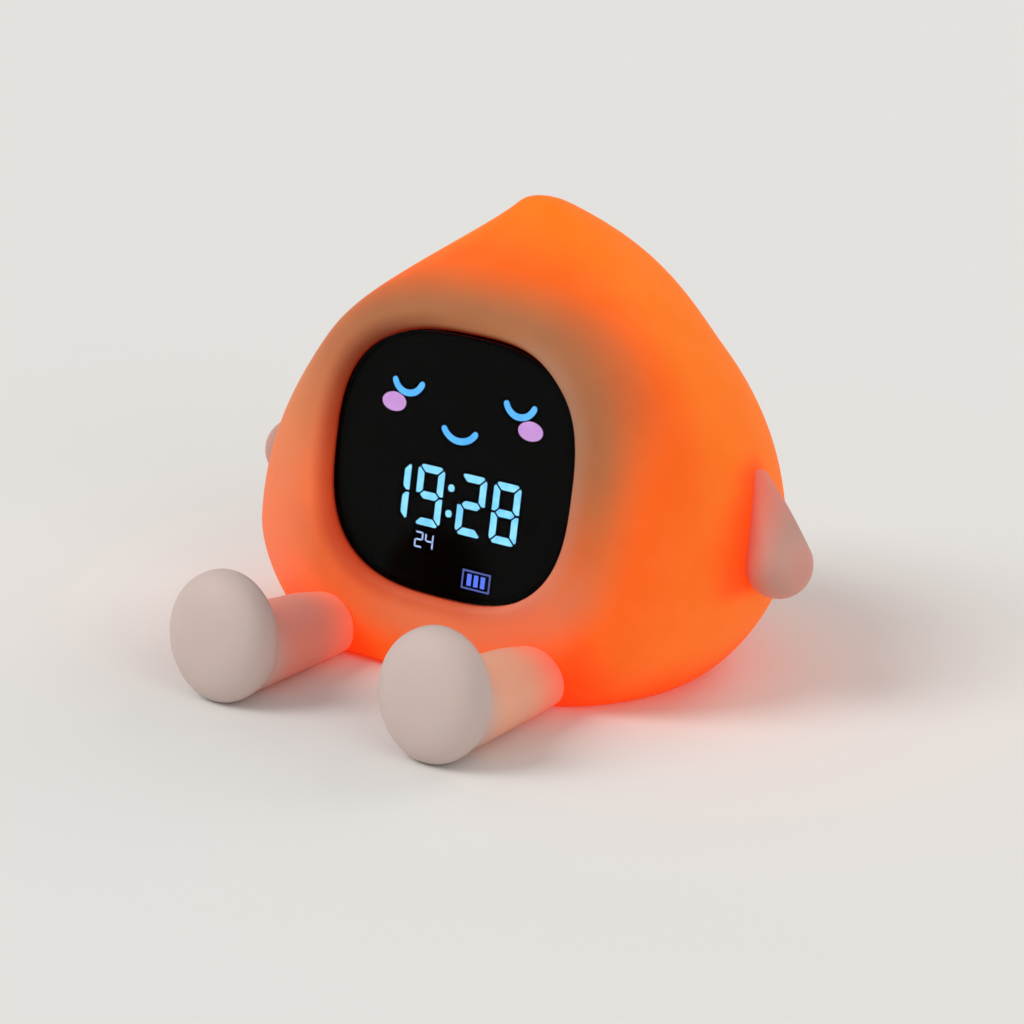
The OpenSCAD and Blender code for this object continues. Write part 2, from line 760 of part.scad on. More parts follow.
module base_screws() {
    z = cover_z + head_h;
    color("#9A9A9E") placed() for (a = [45:90:315]) rotate(a) translate([base_screw_r, 0, z])
        rotate([180, 0, 0]) screw(tray_top + boss_h - 2 - z);
}

// ---- Power and sound ----

module battery_cell() {
    color("#3C7DC4") placed() translate([-cell_l / 2, cell_y, cell_z]) rotate([0, 90, 0]) {
        cylinder(cell_l - 1, r = cell_r, $fn = 64);
        cylinder(cell_l, r = cell_r / 3, $fn = 32);
    }
}

tape_t = 0.3;
tape_w = 8;

module battery_tape() {
    color("#E8D27A") placed() translate([-tape_w / 2, cell_y, cell_z]) rotate([0, 90, 0])
        difference() {
            cylinder(tape_w, r = cell_r + eps + tape_t, $fn = 64);
            translate([0, 0, -1]) cylinder(tape_w + 2, r = cell_r + eps, $fn = 64);
            translate([0, -2 * cell_r, -1]) cube([2 * cell_r, 4 * cell_r, tape_w + 2]);
        }
}

basket_h = 3.4;
basket_t = 0.8;
magnet_r = 8;
magnet_h = 4;

module speaker_basket() {
    color("#55585E") placed() translate([0, speaker_y, tray_top + gap]) difference() {
        cylinder(basket_h, r = speaker_r, $fn = 64);
        translate([0, 0, -1]) cylinder(basket_h + 1 - basket_t, r = speaker_r - basket_t, $fn = 64);
        translate([0, 0, -1]) cylinder(basket_h + 2, r = magnet_r - 3, $fn = 32);
    }
}

module speaker_cone() {
    color("#2B2B2E") placed() translate([0, speaker_y, tray_top + gap])
        rotate_extrude($fn = 64) polygon([
            [0, 1.6], [3.4, 1.6], [speaker_r - 2.6, 0.2], [speaker_r - 1.3, 0.2],
            [speaker_r - 1.3, 0.7], [speaker_r - 2.6, 0.7], [3.7, 2.1], [0, 2.1]
        ]);
}

module speaker_magnet() {
    color("#A8AAB0") placed() translate([0, speaker_y, tray_top + gap + basket_h + eps])
        cylinder(magnet_h, r = magnet_r, $fn = 48);
}

// ---- Main board and light ----

board_top = board_at_z + board_t;

module main_board() {
    color("#1F6B3B") placed() difference() {
        translate([-board_x, board_y[0], board_at_z])
            cube([2 * board_x, board_y[1] - board_y[0], board_t]);
        for (p = post_places) translate([p[0], p[1], board_at_z - 1])
            cylinder(board_t + 2, r = screw_r + gap, $fn = 24);
        for (a = tower_screw_angles) rotate(a)
            translate([tower_screw_r, 0, board_at_z - 1])
                cylinder(board_t + 2, r = screw_r + gap, $fn = 24);
    }
}

// Corner and size of each chip on the board
chips = [
    [[-26, -9], [7, 7, 1]], [[17, -13], [5, 6, 1.5]], [[-24, 6], [5, 4, 1.5]],
    [[19, 5], [4, 5, 1.8]], [[-7, 17], [14, 3.6, 1.4]]
];
buzzer_at = [25, -5];
buzzer_r = 2;
buzzer_h = 5;

module main_chips() {
    color("#26282C") placed() translate([0, 0, board_top]) {
        for (c = chips) translate([c[0][0], c[0][1], 0]) cube(c[1]);
        translate([buzzer_at[0], buzzer_at[1], 0]) cylinder(buzzer_h, r = buzzer_r, $fn = 32);
    }
}

module board_screws() {
    color("#9A9A9E") placed() for (p = post_places)
        translate([p[0], p[1], board_top + gap]) screw(post_bore - 1);
}

tower_foot_r = 15;
tower_foot_t = 1.6;
tower_low_r = 10;
tower_top_r = 7;
tower_wall = 1.5;
tower_top = 62;
tower_screw_r = 12.5;
tower_screw_angles = [30, 150, 270];
tower_screw_l = 2.8;
light_board_r = 15.4;
night_led = [3.5, 2.8, 1.9];
night_led_r = 12.5;

module light_tower() {
    color("#F4F1EA") placed() difference() {
        union() {
            translate([0, 0, board_top + eps]) cylinder(tower_foot_t, r = tower_foot_r, $fn = 64);
            translate([0, 0, board_top + eps])
                cylinder(tower_top - board_top - eps, r1 = tower_low_r, r2 = tower_top_r, $fn = 64);
        }
        translate([0, 0, board_top - 1])
            cylinder(tower_top - board_top + 2, r1 = tower_low_r - tower_wall,
                r2 = tower_top_r - tower_wall, $fn = 64);
        for (a = tower_screw_angles) rotate(a)
            translate([tower_screw_r, 0, board_top - 1]) cylinder(4, r = screw_r + gap, $fn = 24);
    }
}

module tower_screws() {
    color("#9A9A9E") placed() for (a = tower_screw_angles) rotate(a)
        translate([tower_screw_r, 0, board_top + tower_foot_t + gap]) screw(tower_screw_l);
}

module light_board() {
    color("#F6F6F4") placed() translate([0, 0, tower_top + eps]) difference() {
        cylinder(board_t, r = light_board_r, $fn = 64);
        translate([0, 0, -1]) cylinder(board_t + 2, r = 2, $fn = 24);
    }
}

module night_leds() {
    color("#FFE9C9") placed() for (a = [0:45:315]) rotate(a)
        translate([night_led_r, 0, tower_top + eps + board_t + night_led[2] / 2])
            cube(night_led, center = true);
}

// ---- Rear panel ----

panel_t = 2.5;
panel_face_y = 55.5;                  // outer face of the panel, behind the axis
panel_back_y = panel_face_y - panel_t;
panel_wall = 1.6;
rim_w = 1.3;                          // raised rim round the panel
rim_h = 0.7;
well_room = 1.2;                      // shallow well round the row of keys
well_d = 0.5;
pin_hole_u = 6.6;                     // reset hole between the socket and the light
pin_hole_r = 0.6;
box_front_y = 44.5;                   // open front of the panel's box
key_room = 12;                        // how far the skin's opening runs in past the panel
key_v = 3.5;                          // keys above the panel's middle
low_v = -5.5;                         // socket and switch below it
flange_t = 0.8;
flange_r = key_pitch / 2 - gap;
key_board_t = 1.2;
key_board_y = 46.5;                   // outer face of the key board
tact = [5.2, 5.2, 3.4];
tact_pin_r = 1.5;
tact_pin_h = 0.5;
stem_r = 1.6;
slider_u = -10.8;
slider_slot = [3.3, 1.4];             // half size of the slider's slot
light_u = 10.2;
light_r = 1;
usb_w = 4.47;                         // half width of the socket's shell
usb_h = 1.58;                         // half height
usb_wall = 0.3;
usb_l = 8.2;
shelf_x = 16;
shelf_t = 2;
shelf_y = [26.3, 46.2];
shelf_z = panel_z - panel_h + 0.6 - shelf_t;   // underside of the shelf

// Local frame of the panel: x to the right seen from the front, y up, z outwards
module on_panel(y) {
    placed() translate([0, y, panel_z]) rotate([90, 0, 0]) mirror([0, 0, 1]) children();
}

module rear_panel() {
    color("#F4F1EA") difference() {
        union() {
            on_panel(panel_back_y) stadium(panel_w, panel_h, panel_t);
            on_panel(panel_face_y - eps) difference() {
                stadium(panel_w, panel_h, rim_h + eps);
                translate([0, 0, -1]) stadium(panel_w - rim_w, panel_h - rim_w, rim_h + 2);
            }
            on_panel(box_front_y) difference() {
                stadium(panel_w, panel_h, panel_back_y - box_front_y + eps);
                translate([0, 0, -1]) stadium(panel_w - panel_wall, panel_h - panel_wall,
                    panel_back_y - box_front_y + 1 + eps);
            }
            placed() translate([-shelf_x, shelf_y[0], shelf_z])
                cube([2 * shelf_x, shelf_y[1] - shelf_y[0], shelf_t]);
        }
        on_panel(panel_back_y - 1) {
            for (i = [-2:2]) translate([i * key_pitch, key_v, 0])
                cylinder(panel_t + 2, r = key_r + run_gap, $fn = fine);
            translate([0, low_v, 0]) stadium(usb_w + 2 * gap, usb_h + 2 * gap, panel_t + 2);
            translate([slider_u, low_v, panel_t / 2 + 1])
                cube([2 * slider_slot[0], 2 * slider_slot[1], panel_t + 2], center = true);
            translate([light_u, low_v, 0]) cylinder(panel_t + 2, r = light_r + gap, $fn = 24);
            translate([pin_hole_u, low_v, 0]) cylinder(panel_t + 2, r = pin_hole_r, $fn = 24);
            translate([0, key_v, 1 + panel_t - well_d])
                stadium(2 * key_pitch + key_r + well_room, key_r + well_room, panel_t);
        }
        placed() for (x = [-1, 1]) translate([x * panel_post[0], panel_post[1], shelf_z - 1])
            cylinder(shelf_t + 2, r = screw_r + gap, $fn = 24);
    }
}

module panel_screws() {
    color("#9A9A9E") placed() for (x = [-1, 1])
        translate([x * panel_post[0], panel_post[1], shelf_z + shelf_t + gap])
            screw(panel_bore);
}

module key_board() {
    color("#1F6B3B") on_panel(key_board_y - key_board_t)
        stadium(panel_w - panel_wall - 2 * gap, panel_h - panel_wall - 2 * gap, key_board_t);
}

module tact_switches() {
    color("#2B2B2E") on_panel(key_board_y) for (i = [-2:2]) translate([i * key_pitch, key_v, 0]) {
        translate([-tact[0] / 2, -tact[1] / 2, 0]) cube(tact);
        translate([0, 0, tact[2] - eps]) cylinder(tact_pin_h + eps, r = tact_pin_r, $fn = 24);
    }
}

// One key: domed cap, flange behind the panel and a stem above its switch
module key(i) {
    stem_y = key_board_y + tact[2] + tact_pin_h + key_travel + gap;
    cap_l = panel_t + gap + key_rise;
    color("#FFFFFF") on_panel(stem_y) translate([i * key_pitch, key_v, 0]) {
        low = panel_back_y - gap - flange_t - stem_y;
        cylinder(low + eps, r = stem_r, $fn = 24);
        translate([0, 0, low]) cylinder(flange_t, r = flange_r, $fn = fine);
        translate([0, 0, low + flange_t - eps]) rotate_extrude($fn = fine) polygon([
            [0, 0], [key_r, 0], [key_r, cap_l - 0.4], [key_r - 0.15, cap_l - 0.12],
            [key_r - 0.5, cap_l], [0, cap_l]
        ]);
    }
}

module key_mode() key(-2);
module key_alarm() key(-1);
module key_light() key(0);
module key_up() key(1);
module key_down() key(2);

module usb_socket() {
    color("#B9BBC0") on_panel(key_board_y) translate([0, low_v, 0]) {
        difference() {
            stadium(usb_w, usb_h, usb_l);
            translate([0, 0, 1]) stadium(usb_w - usb_wall, usb_h - usb_wall, usb_l);
        }
        translate([0, 0, 3.4]) cube([6.2, 0.7, 6.6], center = true);
    }
}

switch_body = [8.6, 3.6, 3];
switch_slot = [2.4, 0.8];             // half size of the slot in the switch's top
slider_knob = [1.5, 2.2, 1.3];        // half length of the knob, its height and half width

module slide_switch() {
    color("#B9BBC0") on_panel(key_board_y) translate([slider_u, low_v, switch_body[2] / 2])
        difference() {
            cube(switch_body, center = true);
            cube([2 * switch_slot[0], 2 * switch_slot[1], switch_body[2] + 1], center = true);
        }
}

// The knob rests at off, towards the panel's end, and slides towards the socket
module power_slider() {
    knob_top = panel_face_y + 0.6 - key_board_y;
    color("#2B2B2E") on_panel(key_board_y) translate([slider_u - slider_travel / 2, low_v, 0]) {
        translate([-1, -switch_slot[1] + gap, 0.3])
            cube([2, 2 * (switch_slot[1] - gap), switch_body[2]]);
        translate([-slider_knob[0] - 0.4, -slider_knob[2], switch_body[2] + gap]) cube([
            2 * slider_knob[0] + 0.8, 2 * slider_knob[2], 1.2]);
        translate([-slider_knob[0] + 0.2, -slider_knob[2] + 0.1, switch_body[2] + gap])
            cube([2 * slider_knob[0] - 0.4, 2 * slider_knob[2] - 0.2,
                knob_top - switch_body[2] - gap]);
    }
}

module charge_light() {
    color("#F2FFF2") on_panel(key_board_y) translate([light_u, low_v, eps])
        cylinder(panel_face_y - key_board_y, r = light_r, $fn = 24);
}

// ---- Ribbons and leads ----

// A flat strip of width w that follows points in the y-z plane
module strip(points, t, w) {
    n = len(points);
    function dir(i) = let (d = points[min(n - 1, i + 1)] - points[max(0, i - 1)]) d / norm(d);
    side = [for (i = [0:n - 1]) let (d = dir(i)) points[i] + t / 2 * [-d[1], d[0]]];
    back = [for (i = [n - 1:-1:0]) let (d = dir(i)) points[i] - t / 2 * [-d[1], d[0]]];
    translate([-w / 2, 0, 0]) rotate([90, 0, 90]) linear_extrude(w) polygon(concat(side, back));
}

ribbon_t = 0.3;
ribbon_w = 10;

// A point ahead of or behind the face, in the y-z plane
function face_point(v, z) = [
    -face_d - z * cos(face_tilt) + v * sin(face_tilt),
    face_z + z * sin(face_tilt) + v * cos(face_tilt)
];

ribbon_end_y = -17;                   // where the display's ribbon meets the main board
ribbon_bend = [0.9, 0.7, 1.9, 3.2];   // corners of its bend over that board
plug_in = 3;                          // straight run of the key ribbon at its ends
low_run = 8;                          // how far it lies low over the main board
ribbon_lift = [0.2, 0.3, 1.6];        // how it rises from its two ends and over the board
ribbon_sag = [1, 1.2];                // how far it arches above its upper end
ribbon_off = [0.7, 2.4];              // its ends above the main board and the panel's middle

module display_ribbon() {
    start = face_point(ribbon_v, board_z - board_t - gap);
    out = face_point(ribbon_v, frame_back - frame_back_t - 1.2);
    color("#D8D2C4") placed() strip([
        start, out, [ribbon_end_y - ribbon_bend[0], out[1] - ribbon_bend[1]],
        [ribbon_end_y - ribbon_bend[0] / 9, out[1] - ribbon_bend[2]],
        [ribbon_end_y, out[1] - ribbon_bend[3]], [ribbon_end_y, board_top + gap]
    ], ribbon_t, ribbon_w);
}

module key_ribbon() {
    y0 = chips[4][0][1] + chips[4][1][1] + gap;
    y1 = key_board_y - key_board_t - gap;
    z0 = board_top + ribbon_off[0];
    z1 = panel_z + ribbon_off[1];
    color("#D8D2C4") placed() strip([
        [y0, z0], [y0 + plug_in, z0 + ribbon_lift[0]], [y0 + low_run, z0 + ribbon_lift[2]],
        [(y0 + y1) / 2, z1 + ribbon_sag[1]], [y1 - low_run + ribbon_sag[0], z1 + ribbon_sag[0]],
        [y1 - plug_in, z1 + ribbon_lift[1]], [y1, z1]
    ], ribbon_t, ribbon_w);
}

tab_t = 0.3;
tab_w = 5;
tab_in = 6;           // how far a tab runs in over the cell's end

// Bent strip from each end of the cell up to the main board
module battery_tabs() {
    x0 = cell_l / 2 + gap + tab_t / 2;
    top = board_at_z - gap - tab_t / 2;
    color("#C9CBD0") placed() for (s = [-1, 1]) scale([s, 1, 1])
        translate([0, cell_y - tab_w / 2, 0]) rotate([90, 0, 0]) mirror([0, 0, 1])
            linear_extrude(tab_w) polygon(concat(
                [for (p = [[x0, cell_z - 3], [x0, top - 0.8], [x0 - 0.8, top],
                    [x0 - tab_in, top]]) p + [tab_t / 2, tab_t / 2]],
                [for (p = [[x0 - tab_in, top], [x0 - 1, top], [x0, top - 1],
                    [x0, cell_z - 3]]) p - [tab_t / 2, tab_t / 2]]
            ));
}

lead_r = 0.6;
lead_x = 11;

module speaker_leads() {
    z = tray_top + gap + basket_h + eps;
    color("#3B3B3E") placed() for (x = [-lead_x, lead_x]) translate([x, speaker_y, z])
        cylinder(board_at_z - gap - z, r = lead_r, $fn = 16);
}

silicone_skin();
left_arm();
right_arm();
left_leg();
right_leg();
display_lens();
display_mask();
lit_segments();
dark_segments();
face_segments();
cheek_segments();
status_segments();
display_leds();
display_board();
display_frame();
display_screws();
frame_screws();
base_tray();
base_cover();
base_pads();
base_screws();
battery_cell();
battery_tape();
speaker_basket();
speaker_cone();
speaker_magnet();
main_board();
main_chips();
board_screws();
light_tower();
light_board();
night_leds();
tower_screws();
rear_panel();
panel_screws();
key_board();
tact_switches();
usb_socket();
slide_switch();
power_slider();
charge_light();
key_mode();
key_alarm();
key_light();
key_up();
key_down();
display_ribbon();
key_ribbon();
battery_tabs();
speaker_leads();
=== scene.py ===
import json
import math

import bmesh
import bpy
from mathutils import Matrix, Vector


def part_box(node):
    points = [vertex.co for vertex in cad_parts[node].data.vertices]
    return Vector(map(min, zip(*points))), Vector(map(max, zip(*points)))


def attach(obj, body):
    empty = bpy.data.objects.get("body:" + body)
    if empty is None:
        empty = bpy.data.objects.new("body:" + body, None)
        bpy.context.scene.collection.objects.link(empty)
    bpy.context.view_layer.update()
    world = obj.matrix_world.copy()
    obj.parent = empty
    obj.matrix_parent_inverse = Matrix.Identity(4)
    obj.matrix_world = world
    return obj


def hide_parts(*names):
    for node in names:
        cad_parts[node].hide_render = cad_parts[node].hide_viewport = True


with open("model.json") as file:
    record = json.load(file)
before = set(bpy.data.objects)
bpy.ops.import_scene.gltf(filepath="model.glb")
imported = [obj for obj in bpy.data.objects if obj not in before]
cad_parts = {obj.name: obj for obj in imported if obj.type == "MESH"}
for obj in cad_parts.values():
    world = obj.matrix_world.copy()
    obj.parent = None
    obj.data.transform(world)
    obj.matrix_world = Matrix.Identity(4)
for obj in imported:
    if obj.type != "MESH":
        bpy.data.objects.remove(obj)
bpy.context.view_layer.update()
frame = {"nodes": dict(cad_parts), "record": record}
mm = 0.001
tiny = 1e-9  # keeps a division away from zero
nodes = frame["nodes"]
print("frame loaded,", len(nodes), "nodes")

# the clock's own measures in millimetres, from the axis of the body
form = {
    "bodyRadius": 59.6, "bodyHeight": 103.0, "widestHeight": 25.0, "standRadius": 42.8,
    "tipRadius": 10.2, "tipSlope": 37.0, "neckLean": 5.8, "leanFrom": 25.5,
    "standPull": 5.5, "widestPull": 10.2, "shoulderPull": 44.4, "tipPull": 19.7,
    "faceDistance": 30.2, "faceHeight": 47.5, "faceTilt": 6.5,
    "lensHalfWidth": 31.1, "lensHalfHeight": 29.0, "lensSquareness": 2.8,
    "lipRise": 2.0, "padMargin": 9.8, "faceBlend": 11.4, "padBlend": 6.7, "padMerge": 17.0,
    "axisY": 11.2, "wall": 2.4, "faceWall": 3.6,
}
# how many steps the curves are worked out in
fineness = {"low": 60, "high": 160, "tip": 24, "lensOutline": 1440, "panelQuarter": 60, "seek": 14}
# sines of the flattest rays that still meet the table and the face
flattest = {"table": 0.2, "face": 0.05}
tilt = math.radians(form["faceTilt"])
coreZ = form["faceHeight"] - form["faceDistance"] * math.tan(tilt)
core = Vector((0, 0, coreZ))
faceOut = Vector((0, -math.cos(tilt), math.sin(tilt)))
faceUp = Vector((0, math.sin(tilt), math.cos(tilt)))
faceRight = Vector((1, 0, 0))
faceCentre = Vector((0, -form["faceDistance"], form["faceHeight"]))


def bezier(p, t):
    return [
        (1 - t) ** 3 * p[0][i] + 3 * (1 - t) ** 2 * t * p[1][i]
        + 3 * (1 - t) * t * t * p[2][i] + t ** 3 * p[3][i]
        for i in range(2)
    ]


def bodyProfile():
    # radius and height from the stand up to the tip
    slope = math.radians(form["tipSlope"])
    tipMiddle = form["bodyHeight"] - form["tipRadius"]
    tipStart = (form["tipRadius"] * math.sin(slope), tipMiddle + form["tipRadius"] * math.cos(slope))
    widest = (form["bodyRadius"], form["widestHeight"])
    low = [
        (form["standRadius"], 0), (form["standRadius"] + form["standPull"], 0),
        (widest[0], widest[1] - form["widestPull"]), widest,
    ]
    high = [
        widest, (widest[0], widest[1] + form["shoulderPull"]),
        (tipStart[0] + form["tipPull"] * math.cos(slope),
         tipStart[1] - form["tipPull"] * math.sin(slope)),
        tipStart,
    ]
    points = [bezier(low, i / fineness["low"]) for i in range(fineness["low"] + 1)]
    points += [bezier(high, i / fineness["high"]) for i in range(1, fineness["high"] + 1)]
    for i in range(1, fineness["tip"] + 1):
        a = slope * (1 - i / fineness["tip"])
        points.append([form["tipRadius"] * math.sin(a), tipMiddle + form["tipRadius"] * math.cos(a)])
    return points


profileRays = sorted(
    (math.atan2(z - coreZ, r), math.hypot(r, z - coreZ)) for r, z in bodyProfile()
)


def profileReach(elevation):
    # distance from the core to the profile of revolution, or to the table below the stand
    if elevation <= profileRays[0][0]:
        return coreZ / max(flattest["table"], math.sin(-elevation))
    if elevation >= profileRays[-1][0]:
        return profileRays[-1][1]
    low, high = 0, len(profileRays) - 1
    while high - low > 1:
        mid = (low + high) // 2
        if profileRays[mid][0] <= elevation:
            low = mid
        else:
            high = mid
    a, b = profileRays[low], profileRays[high]
    t = (elevation - a[0]) / max(tiny, b[0] - a[0])
    return a[1] + (b[1] - a[1]) * t


def formPoint(direction, inset=0.0, faceInset=0.0):
    # point of the silicone's outer form along a direction from the core
    u = direction.normalized()
    reach = profileReach(math.asin(max(-1, min(1, u.z)))) - inset
    toFace = u.dot(faceOut)
    n = form["lensSquareness"]
    cut, pad = reach, 0.0
    if toFace > flattest["face"]:
        far = form["faceDistance"] * (math.cos(tilt) + math.sin(tilt) * math.tan(tilt))
        far = (far + form["lipRise"] - faceInset) / toFace
        cut = reach / (1 + (reach / far) ** form["faceBlend"]) ** (1 / form["faceBlend"])
        grow = form["padMargin"] - inset
        side = (abs(u.x * far) / (form["lensHalfWidth"] + grow)) ** n
        side += (abs(u.dot(faceUp) * far) / (form["lensHalfHeight"] + grow)) ** n
        pad = far / (1 + side ** (form["padBlend"] / n)) ** (1 / form["padBlend"])
    r = cut * (1 + (pad / cut) ** form["padMerge"]) ** (1 / form["padMerge"])
    p = u * r + core
    s = (p.z - coreZ - form["leanFrom"]) / (form["bodyHeight"] - coreZ - form["leanFrom"])
    s = min(1, max(0, s))
    leanPeak = 27 / 4  # makes the largest s * s * (1 - s) one
    p.y += form["neckLean"] * leanPeak * s * s * (1 - s)
    p.z = max(p.z, inset)
    return p


def toScene(p):
    return Vector((p.x, p.y + form["axisY"], p.z)) * mm


def faceFrame(p):
    # right, up and out from the middle of the lens front
    d = p - faceCentre
    return Vector((d.x, d.dot(faceUp), d.dot(faceOut)))


def fromFace(u, v, w):
    return faceCentre + faceRight * u + faceUp * v + faceOut * w


def meshPiece(name, points, faces, smooth=True):
    mesh = bpy.data.meshes.new(name)
    mesh.from_pydata([tuple(p) for p in points], [], faces)
    mesh.validate()
    mesh.update()
    piece = bpy.data.objects.new(name, mesh)
    bpy.context.scene.collection.objects.link(piece)
    if smooth:
        mesh.polygons.foreach_set("use_smooth", [True] * len(mesh.polygons))
    return piece


def ringFaces(start, rings, count, closed=False):
    # quads between neighbouring rings of points, and from the last ring to the first if closed
    faces = []
    for i in range(rings if closed else rings - 1):
        low = start + i * count
        high = start + (i + 1) % rings * count
        for j in range(count):
            k = (j + 1) % count
            faces.append((low + j, low + k, high + k, high + j))
    return faces


def fixNormals(piece):
    work = bmesh.new()
    work.from_mesh(piece.data)
    bmesh.ops.recalc_face_normals(work, faces=work.faces)
    work.to_mesh(piece.data)
    work.free()


def applyModifier(piece, modifier):
    bpy.context.view_layer.objects.active = piece
    for o in bpy.context.selected_objects:
        o.select_set(False)
    piece.select_set(True)
    bpy.ops.object.modifier_apply(modifier=modifier.name)


# hollow silicone body: one wall that runs from the lens lip over the outside to the panel
# opening and back along the inside
bodyShape = {
    "columns": 240, "outerRings": 150, "innerRings": 56,
    "lipRadius": 1.5, "rearRadius": 1.0, "gripDepth": 54.6, "gripWidth": 1.6,
    "gripLip": 1.2, "panelHalfWidth": 20.2, "panelHalfHeight": 12.2, "panelHeight": 26.0,
    "floorOpening": 32.0, "floorBevel": 0.6, "cutBelow": 3, "cutAbove": 4, "cutterSteps": 160,
    "lipSteps": 8, "rearSteps": 7, "crowding": 0.09, "sharpAngle": 50,
}


def evenPoints(outline, count):
    # the same closed outline as evenly spaced points
    loop = outline + outline[:1]
    lengths = [0.0]
    for a, b in zip(loop, loop[1:]):
        lengths.append(lengths[-1] + math.dist(a, b))
    out, k = [], 0
    for i in range(count):
        goal = lengths[-1] * i / count
        while lengths[k + 1] < goal:
            k += 1
        t = (goal - lengths[k]) / max(tiny, lengths[k + 1] - lengths[k])
        out.append(tuple(p + (q - p) * t for p, q in zip(loop[k], loop[k + 1])))
    return out


def lensOutline(grow, count):
    w, h = form["lensHalfWidth"] + grow, form["lensHalfHeight"] + grow
    power = 2 / form["lensSquareness"]
    outline = []
    for i in range(fineness["lensOutline"]):
        a = 2 * math.pi * i / fineness["lensOutline"]
        c, s = math.cos(a), math.sin(a)
        outline.append((w * math.copysign(abs(c) ** power, c), h * math.copysign(abs(s) ** power, s)))
    return evenPoints(outline, count)


def panelOutline(grow, count):
    # stadium round the control panel, from its right end upwards
    h = bodyShape["panelHalfHeight"] + grow
    reach = bodyShape["panelHalfWidth"] - bodyShape["panelHalfHeight"]
    outline = []
    for middle, start in ((reach, 0), (-reach, 90), (-reach, 180), (reach, 270)):
        for k in range(fineness["panelQuarter"] + 1):
            a = math.radians(start + 90 * k / fineness["panelQuarter"])
            outline.append((middle + h * math.cos(a), h * math.sin(a)))
    return evenPoints(outline, count)


def surfaceOver(u, v, inset=0.0, faceInset=0.0):
    # point of the form straight in front of a place on the lens plane
    w = form["lipRise"]
    for _ in range(fineness["seek"]):
        w = faceFrame(formPoint(fromFace(u, v, w) - core, inset, faceInset)).z
    return formPoint(fromFace(u, v, w) - core, inset, faceInset)


def surfaceBehind(x, z, inset=0.0):
    # point of the form straight behind a place on the control panel
    y = form["bodyRadius"]
    for _ in range(fineness["seek"]):
        r = (formPoint(Vector((x, y, z - coreZ)), inset) - core).length
        y = math.sqrt(max(1.0, r * r - x * x - (z - coreZ) ** 2))
    return Vector((x, y, z))


def sweepRings(starts, ends, rings, inset, faceInset):
    # rings on the form between two edges, seen from the core
    pairs = [((a - core).normalized(), (b - core).normalized()) for a, b in zip(starts, ends)]
    out = []
    for k in range(1, rings):
        t = k / rings
        t = t - bodyShape["crowding"] * math.sin(2 * math.pi * t)  # closer together near both edges
        ring = []
        for a, b in pairs:
            whole = a.angle(b)
            d = a * math.sin((1 - t) * whole) + b * math.sin(t * whole)
            ring.append(formPoint(d, inset, faceInset))
        out.append(ring)
    return out


def makeBody():
    shape = bodyShape
    count = shape["columns"]
    # front lip rolls over from the lens opening's wall on to the face
    inner, edge = lensOutline(0, count), lensOutline(shape["lipRadius"], count)
    rimTop = [surfaceOver(u, v) for u, v in edge]
    rings = []
    for k in range(shape["lipSteps"] + 1):
        b = math.pi / 2 * k / shape["lipSteps"]
        share, drop = 1 - math.cos(b), shape["lipRadius"] * (1 - math.sin(b))
        rings.append([
            fromFace(p[0] + (q[0] - p[0]) * share, p[1] + (q[1] - p[1]) * share,
                     faceFrame(top).z - drop)
            for p, q, top in zip(inner, edge, rimTop)
        ])
    # rear edge rolls over into the panel opening, whose wall grips the panel
    up = shape["panelHeight"]
    opening, outside = panelOutline(0, count), panelOutline(shape["rearRadius"], count)
    rearTop = [surfaceBehind(x, z + up) for x, z in outside]
    rings += sweepRings(rimTop, rearTop, shape["outerRings"], 0, 0)
    for k in range(shape["rearSteps"] + 1):
        b = math.pi / 2 * k / shape["rearSteps"]
        share, drop = math.sin(b), shape["rearRadius"] * (1 - math.cos(b))
        rings.append([
            Vector((q[0] + (p[0] - q[0]) * share, top.y - drop, q[1] + (p[1] - q[1]) * share + up))
            for p, q, top in zip(opening, outside, rearTop)
        ])
    wall = form["wall"]
    for grow in (0, shape["gripWidth"]):
        rings.append([
            Vector((x, min(shape["gripDepth"], surfaceBehind(x, z + up, wall).y), z + up))
            for x, z in panelOutline(grow, count)
        ])
    innerRear = [surfaceBehind(x, z + up, wall)
                 for x, z in panelOutline(shape["gripWidth"] + shape["gripLip"], count)]
    innerFront = [surfaceOver(u, v, wall, form["faceWall"]) for u, v in inner]
    rings.append(innerRear)
    rings += sweepRings(innerRear, innerFront, shape["innerRings"], wall, form["faceWall"])
    rings.append(innerFront)
    points = [toScene(p) for ring in rings for p in ring]
    body = meshPiece("siliconeBody", points, ringFaces(0, len(rings), count, closed=True))
    fixNormals(body)
    return body


def turnedCutter(name, outline):
    # solid of revolution about the body's axis, from radius and height pairs
    steps = bodyShape["cutterSteps"]
    turns = [2 * math.pi * (i + 0.5) / steps for i in range(steps)]
    points = [Vector((r * math.cos(t), r * math.sin(t), z)) for r, z in outline for t in turns]
    last = len(points) - steps
    faces = ringFaces(0, len(outline), steps)
    faces += [tuple(range(steps - 1, -1, -1)), tuple(range(last, last + steps))]
    piece = meshPiece(name, [toScene(p) for p in points], faces, False)
    fixNormals(piece)
    return piece


def carve(piece, cutter):
    cut = piece.modifiers.new("cut", "BOOLEAN")
    cut.operation = "DIFFERENCE"
    cut.solver = "EXACT"
    cut.object = cutter
    applyModifier(piece, cut)
    bpy.data.objects.remove(cutter)


